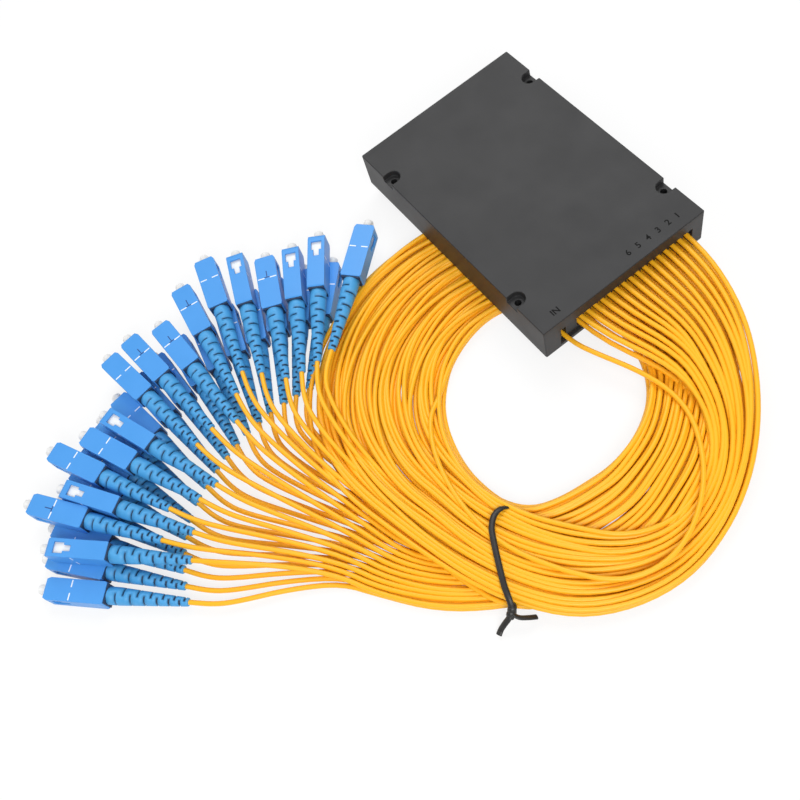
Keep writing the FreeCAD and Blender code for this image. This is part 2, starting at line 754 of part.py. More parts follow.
def outlet_across(number):
    """Outlets counted from the far end of the row."""
    first = value(FIRST_ACROSS)
    last = value(LAST_ACROSS)
    return first + (last - first) * number / (D["outlet_count"] - 1)


def outlet_row(name, up, sink):
    solids = []
    for number in range(int(D["outlet_count"])):
        rank = number / (D["outlet_count"] - 1)
        solids.append(tube(outlet_route(outlet_across(number), up, rank, sink), D["cable"], made_tubes))
    fixed(name, Part.makeCompound(solids))


outlet_row("upper_outlet_cables", D["upper_row"], UPPER_SINK)
outlet_row("lower_outlet_cables", D["lower_row"], LOWER_SINK)
input_route = outlet_route(value(INPUT_ACROSS), D["input_up"], INPUT_RANK, LOWER_SINK)
fixed("input_cable", tube(input_route, D["cable"], made_tubes))

# Tails: from the band next to the tie, fanning out to the boots in two layers
LEAVE_TURN = math.radians(-76)
LANES = (64.0, 98.0)
TAIL_STEPS = (0.0, 0.24, 0.53, 0.82, 1.0)
TAIL_RUN = 10.0
LEAVE_PULL = 0.95
ARRIVE_PULL = 0.6
UPPER_START = COIL_TOP + 1.0
LOWER_START = COIL_TOP - 2.3


def tail_route(rank, z_start, place):
    """Smooth bend from a lane of the coil to a short straight run into a boot."""
    lane = LANES[0] + (LANES[1] - LANES[0]) * rank
    out = FreeCAD.Vector(math.cos(LEAVE_TURN), math.sin(LEAVE_TURN), 0)
    start = FreeCAD.Vector(D["coil_along"], D["coil_across"], z_start) + out * lane
    heel = value(boot_end)
    near = place.multVec(FreeCAD.Vector(heel - TAIL_RUN, 0, 0))
    span = (near - start).Length
    leave = FreeCAD.Vector(out.y, -out.x, 0) * (LEAVE_PULL * span)
    arrive = place.Rotation.multVec(FreeCAD.Vector(1, 0, 0)) * (ARRIVE_PULL * span)
    points = []
    for t in TAIL_STEPS:
        a = 2 * t**3 - 3 * t**2 + 1
        b = t**3 - 2 * t**2 + t
        c = -2 * t**3 + 3 * t**2
        d = t**3 - t**2
        points.append(tuple(start * a + leave * b + near * c + arrive * d))
    points.append(tuple(place.multVec(FreeCAD.Vector(heel, 0, 0))))
    return points


def tail_layer(name, places, z_start):
    solids = []
    for k, place in enumerate(places):
        solids.append(tube(tail_route(k / (len(places) - 1), z_start, place), D["cable"], made_tubes))
    fixed(name, Part.makeCompound(solids))


tail_layer("upper_tails", PLACES[: len(UPPER_PLUGS)], UPPER_START)
tail_layer("lower_tails", PLACES[len(UPPER_PLUGS) :], LOWER_START)
doc.recompute()
print("smallest cable radius", round(min(r for r, _, _ in made_tubes), 1))
print("volume against section", min(v for _, _, v in made_tubes), max(v for _, _, v in made_tubes))

# Check every object, then write one file for each sub-part
NODES = ["base_tray", "lid", "cable_comb", "anchor_block", "chip_pad", "splitter_chip"]
NODES += ["fibre_ribbon", "input_fibre", "upper_outlet_cables", "lower_outlet_cables", "input_cable"]
NODES += ["cable_coil", "coil_tie", "upper_tails", "lower_tails"]
NODES += ["plug_frames", "ferrules", "boots", "dust_caps"]
NODES += [f"grip_{number:02d}" for number in range(1, len(PLACES) + 1)]
for item in doc.Objects:
    if "Invalid" in item.State or "Error" in item.State:
        raise RuntimeError("broken object " + item.Name)
os.makedirs("parts", exist_ok=True)
for node in NODES:
    item = doc.getObjectsByLabel(node)[0]
    if item.Shape.isNull() or not item.Shape.isValid():
        raise RuntimeError("bad shape " + node)
    item.Shape.exportStep(f"parts/{node}.step")
    print(node, len(item.Shape.Solids), round(item.Shape.Volume, 1))
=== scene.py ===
"""Dresses the fibre optic splitter: black module box, 33 yellow pigtails in a tied coil, blue plugs."""

import logging
import math
from dataclasses import dataclass, field
from enum import Enum
from typing import Sequence

import bmesh
import bpy
import numpy as np
from mathutils import Matrix, Vector


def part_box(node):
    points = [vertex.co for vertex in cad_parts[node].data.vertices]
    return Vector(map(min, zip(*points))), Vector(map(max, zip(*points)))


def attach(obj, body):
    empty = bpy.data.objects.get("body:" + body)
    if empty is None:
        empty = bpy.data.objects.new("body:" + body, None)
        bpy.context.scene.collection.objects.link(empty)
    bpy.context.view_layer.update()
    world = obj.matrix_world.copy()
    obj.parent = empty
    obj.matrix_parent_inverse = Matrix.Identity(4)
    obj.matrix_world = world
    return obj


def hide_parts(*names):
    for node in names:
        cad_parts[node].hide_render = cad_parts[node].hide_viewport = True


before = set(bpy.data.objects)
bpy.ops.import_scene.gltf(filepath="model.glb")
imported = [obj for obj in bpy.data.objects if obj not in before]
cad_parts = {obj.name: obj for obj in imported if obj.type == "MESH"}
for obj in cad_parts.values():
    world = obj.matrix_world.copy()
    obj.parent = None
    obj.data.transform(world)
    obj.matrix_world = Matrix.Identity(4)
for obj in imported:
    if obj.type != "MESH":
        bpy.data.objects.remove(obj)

logging.basicConfig(level=logging.INFO, format="%(message)s")
LOG = logging.getLogger("splitter")
MM = 0.001
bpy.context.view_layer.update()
ROOT_BODY = "splitter"
# Attribute of the boot that holds how deep each point lies in a slit; the boot's finish paints shade there.
SLIT_SHADE = "slit_depth_and_shade"
WHITE = (1.0, 1.0, 1.0, 1.0)


class Layer(Enum):
    """The two layers in which outlets, cables and plugs lie."""

    UPPER = "upper"
    LOWER = "lower"


def smooth_keys(at: np.ndarray, keys: Sequence[tuple[float, ...]], column: int) -> np.ndarray:
    """Reads a table of key angles by cosine easing between its rows.

    Args:
        at: Angles in degrees, falling along a cable.
        keys: Rows of (angle, value, ...), with falling angles.
        column: Which value of the rows to read.

    Returns:
        One value for each angle: between two rows it moves as half a cosine wave.
    """
    angles = np.array([row[0] for row in keys])
    values = np.array([row[column] for row in keys])
    place = np.clip(np.searchsorted(-angles, -at, side="right") - 1, 0, len(angles) - 2)
    share = np.clip((angles[place] - at) / (angles[place] - angles[place + 1]), 0.0, 1.0)
    eased = 0.5 - 0.5 * np.cos(np.pi * share)
    return values[place] + (values[place + 1] - values[place]) * eased


def linked(name: str, data: bpy.types.ID) -> bpy.types.Object:
    """Puts a new object in the scene.

    Args:
        name: Name of the object.
        data: Its mesh, curve, lamp or camera.

    Returns:
        The object, at the origin.
    """
    made = bpy.data.objects.new(name, data)
    bpy.context.scene.collection.objects.link(made)
    return made


def mesh_piece(name: str, points: np.ndarray, faces: list, smooth: bool = True) -> bpy.types.Object:
    """Makes a mesh object at the origin from points in metres.

    Args:
        name: Name of the piece.
        points: Array of points, three columns.
        faces: Lists of point numbers.
        smooth: Whether the faces shade smoothly.

    Returns:
        The linked object.
    """
    mesh = bpy.data.meshes.new(name)
    mesh.from_pydata(points.reshape(-1, 3).tolist(), [], faces)
    mesh.polygons.foreach_set("use_smooth", np.full(len(mesh.polygons), smooth))
    mesh.update()
    return linked(name, mesh)


def tube_faces(rings: int, sides: int) -> list:
    """Faces of a closed tube: quads between neighbouring rings and one flat face on each end.

    Args:
        rings: Rings along the tube.
        sides: Points on each ring.

    Returns:
        Lists of point numbers, pointing outwards for rings that turn right-handed about the path.
    """
    ring = np.arange(rings - 1)[:, None] * sides
    side = np.arange(sides)[None, :]
    ahead = (side + 1) % sides
    quads = np.stack([ring + side, ring + ahead, ring + sides + ahead, ring + sides + side], axis=-1)
    start = list(range(sides))[::-1]
    end = list(range((rings - 1) * sides, rings * sides))
    return quads.reshape(-1, 4).tolist() + [start, end]


def placed(points: np.ndarray, place: Matrix) -> np.ndarray:
    """Carries points by a 4 by 4 placement: turned, then shifted."""
    turn = np.array(place.to_3x3())
    return points @ turn.T + np.array(place.translation)


def dress(
    piece: bpy.types.Object, material: bpy.types.Material, body: str = ROOT_BODY
) -> bpy.types.Object:
    """Gives a new piece its finish and the body that it rides on.

    Args:
        piece: The new piece.
        material: Its finish.
        body: Name of the body.

    Returns:
        The same piece.
    """
    piece.data.materials.clear()
    piece.data.materials.append(material)
    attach(piece, body)
    return piece


def noise(tree: bpy.types.NodeTree, size: float, detail: float) -> bpy.types.NodeSocket:
    """Adds noise on Object coordinates.

    Args:
        tree: Node tree of the material.
        size: Size of a patch in millimetres.
        detail: How many finer steps the noise has.

    Returns:
        Socket with the noise, from 0 to 1.
    """
    coords = tree.nodes.new("ShaderNodeTexCoord")
    made = tree.nodes.new("ShaderNodeTexNoise")
    made.inputs["Scale"].default_value = 1.0 / (size * MM)
    made.inputs["Detail"].default_value = detail
    tree.links.new(coords.outputs["Object"], made.inputs["Vector"])
    return made.outputs["Fac"]


def colour_mix(tree: bpy.types.NodeTree, share: bpy.types.NodeSocket, second: tuple) -> bpy.types.Node:
    """Adds a mix of two colours, of which the caller sets the first.

    Args:
        tree: Node tree of the material.
        share: Socket with the share of the second colour.
        second: The second colour.

    Returns:
        The node, with its first colour open.
    """
    made = tree.nodes.new("ShaderNodeMix")
    made.data_type = "RGBA"
    made.inputs["B"].default_value = (*second, 1.0)
    tree.links.new(share, made.inputs["Factor"])
    return made


@dataclass(frozen=True)
class Finish:
    """Moulded plastic: a colour that drifts in patches, a fine grain in the surface and soft gloss."""

    name: str
    colour: tuple[float, float, float]
    drift: tuple[float, float, float]
    roughness: float
    patch_size: float = 9.0
    grain_size: float = 0.35
    grain_depth: float = 0.03
    gloss_spread: float = 0.08
    specular: float = 0.5
    patch_detail: float = 3.0
    grain_detail: float = 2.0
    grain_strength: float = 0.6

    def material(self) -> bpy.types.Material:
        """Builds the node material on Object coordinates.

        Returns:
            The material: patches of noise mix the two colours and the roughness, and finer noise is the bump.
        """
        made = bpy.data.materials.new(self.name)
        made.use_nodes = True
        tree = made.node_tree
        shader = tree.nodes["Principled BSDF"]
        patches = noise(tree, self.patch_size, self.patch_detail)
        mix = colour_mix(tree, patches, self.drift)
        mix.inputs["A"].default_value = (*self.colour, 1.0)
        tree.links.new(mix.outputs["Result"], shader.inputs["Base Color"])
        spread = tree.nodes.new("ShaderNodeMapRange")
        spread.inputs["To Min"].default_value = max(0.0, self.roughness - self.gloss_spread)
        spread.inputs["To Max"].default_value = self.roughness + self.gloss_spread
        tree.links.new(patches, spread.inputs["Value"])
        tree.links.new(spread.outputs["Result"], shader.inputs["Roughness"])
        bump = tree.nodes.new("ShaderNodeBump")
        bump.inputs["Strength"].default_value = self.grain_strength
        bump.inputs["Distance"].default_value = self.grain_depth * MM
        tree.links.new(noise(tree, self.grain_size, self.grain_detail), bump.inputs["Height"])
        tree.links.new(bump.outputs["Normal"], shader.inputs["Normal"])
        self.tune(shader)
        return made

    def tune(self, shader: bpy.types.ShaderNode) -> None:
        """Sets the uniform values of the shader."""
        shader.inputs["Specular IOR Level"].default_value = self.specular


@dataclass(frozen=True)
class MilkyFinish(Finish):
    """Cloudy see-through plastic, as on dust caps."""

    clear: float = 0.12
    refraction: float = 1.46

    def tune(self, shader: bpy.types.ShaderNode) -> None:
        """Lets light through the wall."""
        shader.inputs["Transmission Weight"].default_value = self.clear
        shader.inputs["IOR"].default_value = self.refraction


@dataclass(frozen=True)
class SlitFinish(Finish):
    """Soft plastic with painted shade in its cut slits, mixed in by the mesh's own attribute of slit depth.
    """

    # Colour of the painted shade inside the slits.
    shade: tuple[float, float, float] = (0.004, 0.022, 0.060)

    def tune(self, shader: bpy.types.ShaderNode) -> None:
        """Paints shade into the slits: darkens the colour where the slit depth attribute is 1.

        Args:
            shader: The shader, with its colour already linked.
        """
        tree = shader.id_data
        plain = shader.inputs["Base Color"].links[0].from_socket
        depth = tree.nodes.new("ShaderNodeAttribute")
        depth.attribute_name = SLIT_SHADE
        mix = colour_mix(tree, depth.outputs["Fac"], self.shade)
        tree.links.new(plain, mix.inputs["A"])
        tree.links.new(mix.outputs["Result"], shader.inputs["Base Color"])


@dataclass(frozen=True)
class MetalFinish(Finish):
    """Brushed steel of the chip housing."""

    def tune(self, shader: bpy.types.ShaderNode) -> None:
        """Makes the surface metal."""
        shader.inputs["Metallic"].default_value = 1.0


FINISHES = (
    Finish("black_case", (0.021, 0.021, 0.022), (0.025, 0.025, 0.026), 0.50, 14.0, 0.40, specular=0.34),
    Finish("black_comb", (0.012, 0.012, 0.013), (0.018, 0.018, 0.018), 0.55),
    Finish("bonding_resin", (0.32, 0.27, 0.17), (0.38, 0.32, 0.20), 0.30),
    Finish("foam_tape", (0.62, 0.62, 0.60), (0.70, 0.70, 0.68), 0.85),
    MetalFinish("chip_steel", (0.62, 0.63, 0.65), (0.70, 0.71, 0.73), 0.32),
    Finish("clear_fibre", (0.82, 0.83, 0.84), (0.88, 0.88, 0.89), 0.25),
    Finish(
        "yellow_jacket", (0.92, 0.435, 0.010), (0.96, 0.485, 0.015), 0.42, 30.0, 0.5, 0.012, specular=0.45
    ),
    Finish("black_tie", (0.012, 0.011, 0.010), (0.022, 0.020, 0.018), 0.42, 2.0, 0.3, 0.04),
    Finish("white_frame", (0.80, 0.81, 0.82), (0.85, 0.86, 0.87), 0.40),
    Finish("ceramic", (0.86, 0.85, 0.82), (0.90, 0.89, 0.87), 0.18),
    # The boot's own blue, with painted shade in its slits.
    SlitFinish("blue_boot", (0.056, 0.315, 0.650), (0.069, 0.355, 0.710), 0.52, 6.0, 0.4, 0.02),
    # Painted shade: the boot's foot is dark as the shadowed recess at the rear of the sleeve.
    Finish("painted_recess_shade", (0.008, 0.026, 0.070), (0.012, 0.036, 0.090), 0.60, 3.0),
    MilkyFinish("milky_cap", (0.90, 0.90, 0.89), (0.94, 0.94, 0.93), 0.34),
    Finish("blue_grip", (0.062, 0.295, 0.720), (0.074, 0.325, 0.780), 0.38, 12.0, 0.5, 0.012, specular=0.4),
    Finish("dash_ink", (0.74, 0.82, 0.92), (0.84, 0.89, 0.96), 0.50, 1.0),
    # Painted shade of the key on the grip's wide face.
    Finish("painted_key_shade", (0.010, 0.050, 0.200), (0.016, 0.065, 0.240), 0.50, 1.0),
    Finish("lid_ink", (0.008, 0.008, 0.008), (0.012, 0.012, 0.012), 0.70, 1.0, specular=0.1),
)


class Paints:
    """Keeps one material for each finish."""

    def __init__(self) -> None:
        """Starts with no material made."""
        self.finishes: dict[str, Finish] = {finish.name: finish for finish in FINISHES}
        self.made: dict[str, bpy.types.Material] = {}

    def get(self, name: str) -> bpy.types.Material:
        """Material of a named finish, made at its first use.

        Args:
            name: Name of the finish.

        Returns:
            The material.
        """
        if name not in self.made:
            self.made[name] = self.finishes[name].material()
        return self.made[name]


@dataclass
class Studio:
    """White floor, soft lamps and the camera of the photograph, in millimetres.

    Each row of lamps gives a name, a place, the side of the square lamp and its power in watts.
    """

    eye: tuple[float, float, float] = (216.65, -142.26, 336.35)
    right: tuple[float, float, float] = (0.58302, 0.78845, -0.19602)
    down: tuple[float, float, float] = (0.66909, -0.60282, -0.43465)
    ahead: tuple[float, float, float] = (-0.46087, 0.12226, -0.87901)
    lens: float = 45.0
    sensor: float = 36.0
    sight: float = 20000.0
    floor_up: float = -15.0
    floor_half: float = 4000.0
    floor_grey: float = 0.9
    shadow_share: float = 0.20
    aim: tuple[float, float, float] = (34.0, -90.0, 0.0)
    lamps: tuple = (
        ("key_lamp", (-480.0, 320.0, 900.0), 700.0, 6.2),
        ("side_lamp", (700.0, -300.0, 750.0), 600.0, 7.6),
        ("front_lamp", (-500.0, -800.0, 600.0), 600.0, 1.8),
    )
    sky: float = 0.32

    def build(self) -> None:
        """Makes the camera, the floor, the lamps and the sky."""
        self.camera()
        self.floor()
        for lamp in self.lamps:
            self.lamp(*lamp)
        self.world()
        bpy.context.scene.view_settings.view_transform = "Standard"
        LOG.info("studio with %d lamps", len(self.lamps))

    def camera(self) -> None:
        """Sets the camera: its X axis to the right of the frame, its Z axis back from the object."""
        data = bpy.data.cameras.new("camera")
        data.lens = self.lens
        data.sensor_width = self.sensor
        data.clip_end = self.sight * MM
        made = linked("camera", data)
        turn = Matrix((self.right, -Vector(self.down), -Vector(self.ahead))).transposed()
        made.matrix_world = Matrix.Translation(Vector(self.eye) * MM) @ turn.to_4x4()
        bpy.context.scene.camera = made

    def floor(self) -> None:
        """Lays the white floor, which keeps a soft share of the shadow."""
        half = self.floor_half
        corners = np.array([(-half, -half), (half, -half), (half, half), (-half, half)])
        points = np.column_stack([corners, np.full(len(corners), self.floor_up)]) * MM
        made = mesh_piece("studio_floor", points, [[0, 1, 2, 3]], smooth=False)
        paint = bpy.data.materials.new("studio_white")
        paint.use_nodes = True
        nodes = paint.node_tree.nodes
        links = paint.node_tree.links
        nodes.remove(nodes["Principled BSDF"])
        matt = nodes.new("ShaderNodeBsdfDiffuse")
        matt.inputs["Color"].default_value = (self.floor_grey, self.floor_grey, self.floor_grey, 1.0)
        glow = nodes.new("ShaderNodeEmission")
        glow.inputs["Strength"].default_value = 1.0
        share = nodes.new("ShaderNodeMath")
        share.operation = "MULTIPLY"
        share.inputs[1].default_value = 1.0 - self.shadow_share
        links.new(self.seen_ray(paint.node_tree), share.inputs[0])
        mix = nodes.new("ShaderNodeMixShader")
        links.new(share.outputs[0], mix.inputs[0])
        links.new(matt.outputs[0], mix.inputs[1])
        links.new(glow.outputs[0], mix.inputs[2])
        links.new(mix.outputs[0], nodes["Material Output"].inputs["Surface"])
        made.data.materials.append(paint)

    @staticmethod
    def seen_ray(tree: bpy.types.NodeTree) -> bpy.types.NodeSocket:
        """Marks the rays that see the floor directly, in gloss or through plastic.

        Args:
            tree: Node tree of the floor's material.

        Returns:
            Socket that is 1 for these rays and 0 for all others.
        """
        path = tree.nodes.new("ShaderNodeLightPath")
        seen = path.outputs["Is Camera Ray"]
        for kind in ("Is Glossy Ray", "Is Transmission Ray"):
            either = tree.nodes.new("ShaderNodeMath")
            either.operation = "MAXIMUM"
            tree.links.new(seen, either.inputs[0])
            tree.links.new(path.outputs[kind], either.inputs[1])
            seen = either.outputs[0]
        return seen

    def lamp(self, name: str, spot: tuple, size: float, power: float) -> None:
        """Hangs a square soft lamp that faces the middle of the object.

        Args:
            name: Name of the lamp.
            spot: Its place.
            size: Side of its square.
            power: Its power in watts.
        """
        data = bpy.data.lights.new(name, "AREA")
        data.size = size * MM
        data.energy = power
        made = linked(name, data)
        made.location = Vector(spot) * MM
        made.rotation_euler = (Vector(self.aim) - Vector(spot)).to_track_quat("-Z", "Y").to_euler()

    def world(self) -> None:
        """Fills the room with even white light, and shows white to the camera."""
        made = bpy.data.worlds.new("studio_sky")
        made.use_nodes = True
        nodes = made.node_tree.nodes
        links = made.node_tree.links
        base = nodes["Background"]
        base.inputs["Strength"].default_value = self.sky
        base.inputs["Color"].default_value = WHITE
        white = nodes.new("ShaderNodeBackground")
        white.inputs["Color"].default_value = WHITE
        white.inputs["Strength"].default_value = 1.0
        mix = nodes.new("ShaderNodeMixShader")
        path = nodes.new("ShaderNodeLightPath")
        links.new(path.outputs["Is Camera Ray"], mix.inputs[0])
        links.new(base.outputs[0], mix.inputs[1])
        links.new(white.outputs[0], mix.inputs[2])
        links.new(mix.outputs[0], nodes["World Output"].inputs["Surface"])
        bpy.context.scene.world = made


@dataclass(frozen=True)
class EdgeEasing:
    """Copies CAD meshes with eased edges. Lengths are in millimetres and angles in degrees.

    At the height of the seam edges stay sharp, because another piece closes on them.
    """

    width: float
    seam: float = math.inf
    seam_near: float = 0.01
    weld: float = 0.002
    flat_angle: float = 1.0
    sharp_angle: float = 35.0
    segments: int = 2
    face_weight: int = 100

    def copy_of(self, node: str, name: str) -> bpy.types.Object:
        """Copies a node's mesh with its points merged, its flat faces joined and its edges eased.

        Args:
            node: The CAD node that the copy stands for.
            name: Name of the new piece.

        Returns:
            The new piece, with live Bevel and Weighted Normal modifiers.
        """
        shape = bmesh.new()
        shape.from_mesh(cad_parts[node].data)
        bmesh.ops.remove_doubles(shape, verts=shape.verts, dist=self.weld * MM)
        flat = math.radians(self.flat_angle)
        bmesh.ops.dissolve_limit(shape, angle_limit=flat, verts=shape.verts, edges=shape.edges)
        self.weigh(shape)
        mesh = bpy.data.meshes.new(name)
        shape.to_mesh(mesh)
        shape.free()
        mesh.polygons.foreach_set("use_smooth", np.full(len(mesh.polygons), True))
        piece = linked(name, mesh)
        eased = piece.modifiers.new("eased_edges", "BEVEL")
        eased.width = self.width * MM
        eased.segments = self.segments
        eased.limit_method = "WEIGHT"
        shading = piece.modifiers.new("flat_faces", "WEIGHTED_NORMAL")
        shading.weight = self.face_weight
        shading.keep_sharp = True
        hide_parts(node)
        return piece

    def weigh(self, shape: bmesh.types.BMesh) -> None:
        """Gives sharp edges a bevel weight, but marks those of the seam as sharp instead.

        Args:
            shape: The mesh in hand.
        """
        weight = shape.edges.layers.float.new("bevel_weight_edge")
        limit = math.radians(self.sharp_angle)
        for edge in shape.edges:
            sharp = edge.calc_face_angle(0.0) > limit
            closed = all(abs(vert.co.z / MM - self.seam) < self.seam_near for vert in edge.verts)
            edge[weight] = 1.0 if sharp and not closed else 0.0
            edge.smooth = not (sharp and closed)


KEPT_NODES = {
    "cable_comb": "black_comb",
    "anchor_block": "bonding_resin",
    "chip_pad": "foam_tape",
    "splitter_chip": "chip_steel",
    "fibre_ribbon": "clear_fibre",
    "input_fibre": "clear_fibre",
    "plug_frames": "white_frame",
    "ferrules": "ceramic",
}


@dataclass
class ModuleBox:
    """The black case, the marks on its lid, and the finish of the CAD pieces that are shown as they are."""

    paints: Paints
    edge: float = 0.35
    seam: float = 7.0
    mark_high: float = 2.6
    capital_share: float = 0.7
    mark_lift: float = 0.03
    mark_bold: float = 0.07
    numeral_along: float = 54.4
    numeral_spots: tuple = (31.3, 26.6, 21.6, 16.6, 11.6, 6.6)
    input_spot: tuple = (55.2, -30.2)

    def build(self) -> None:
        """Eases the case, paints the kept CAD pieces and prints the marks."""
        easing = EdgeEasing(self.edge, self.seam)
        for node, name in (("base_tray", "case_tray"), ("lid", "case_lid")):
            dress(easing.copy_of(node, name), self.paints.get("black_case"))
            LOG.info("case piece %s", name)
        for node, finish in KEPT_NODES.items():
            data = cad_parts[node].data
            data.materials.clear()
            data.materials.append(self.paints.get(finish))
            LOG.info("kept piece %s", node)
        for number, across in enumerate(self.numeral_spots, start=1):
            self.mark(f"outlet_mark_{number}", str(number), self.numeral_along, across)
        self.mark("input_mark", "IN", *self.input_spot)

    def mark(self, name: str, text: str, along: float, across: float) -> None:
        """Prints a mark flat on the lid, its top towards the far end and reading across the box.

        Args:
            name: Name of the piece.
            text: Numeral or word.
            along: Place of its middle along the box.
            across: Place of its middle across the box.
        """
        data = bpy.data.curves.new(name, "FONT")
        data.body = text
        data.size = self.mark_high * MM / self.capital_share
        data.align_x = "CENTER"
        data.align_y = "CENTER"
        data.extrude = self.mark_lift * MM
        data.offset = self.mark_bold * MM
        made = linked(name, data)
        bpy.context.view_layer.update()
        flat = bpy.data.meshes.new_from_object(made.evaluated_get(bpy.context.evaluated_depsgraph_get()))
        bpy.data.objects.remove(made)
        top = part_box("lid")[1].z
        turn = Matrix.Rotation(math.radians(90.0), 4, "Z")
        flat.transform(Matrix.Translation((along * MM, across * MM, top)) @ turn)
        dress(linked(name, flat), self.paints.get("lid_ink"))
        LOG.info("lid mark %s", text)


@dataclass
class Outlets:
    """Places of the cables in the end face of the box, as in the part's source."""

    count: int = 16
    first_across: float = 31.8
    last_across: float = -22.2
    input_across: float = -30.0
    rows: dict = field(default_factory=lambda: {Layer.UPPER: 1.0, Layer.LOWER: -3.8})
    input_up: float = -5.4
    anchor_face: float = 50.0
    straight_end: float = 66.0
    lower_sag: float = 1.0
    input_lead: tuple = (
        (62.0, -29.8, -5.4),
        (73.0, -26.0, -5.4),
        (87.0, -20.0, -5.6),
        (100.0, -16.6, -5.6),
        (113.0, -17.2, -5.4),
        (125.0, -23.0, -5.2),
        (135.0, -31.0, -5.2),
        (143.0, -41.0, -5.4),
        (148.5, -53.0, -5.6),
        (149.5, -66.0, -5.4),
        (144.5, -79.0, -5.0),
        (132.0, -89.5, -4.9),
        (112.0, -100.3, -5.0),
        (94.2, -103.2, -5.8),
        (77.6, -101.9, -7.0),
        (62.2, -97.7, -8.2),
        (49.2, -90.1, -9.0),
    )

    def across(self, number: int) -> float:
        """Place of an outlet across the box, counted from the far end of the row."""
        return self.first_across + (self.last_across - self.first_across) * number / (self.count - 1)

    def lead(self, number: int, layer: Layer) -> np.ndarray:
        """Straight run of an outlet cable, from the bonding block to just outside the comb.

        Args:
            number: Place in the row, 0 at the end away from the input.
            layer: Row of the outlet. A cable of the lower row sags a little at its end.

        Returns:
            The two ends of the run, in millimetres.
        """
        across = self.across(number)
        up = self.rows[layer]
        sag = self.lower_sag if layer is Layer.LOWER else 0.0
        return np.array([(self.anchor_face, across, up), (self.straight_end, across, up - sag)])

    def input_run(self) -> np.ndarray:
        """Run of the input cable, which crosses over the others on its way round."""
        start = (self.anchor_face, self.input_across, self.input_up)
        return np.array([start, *self.input_lead])


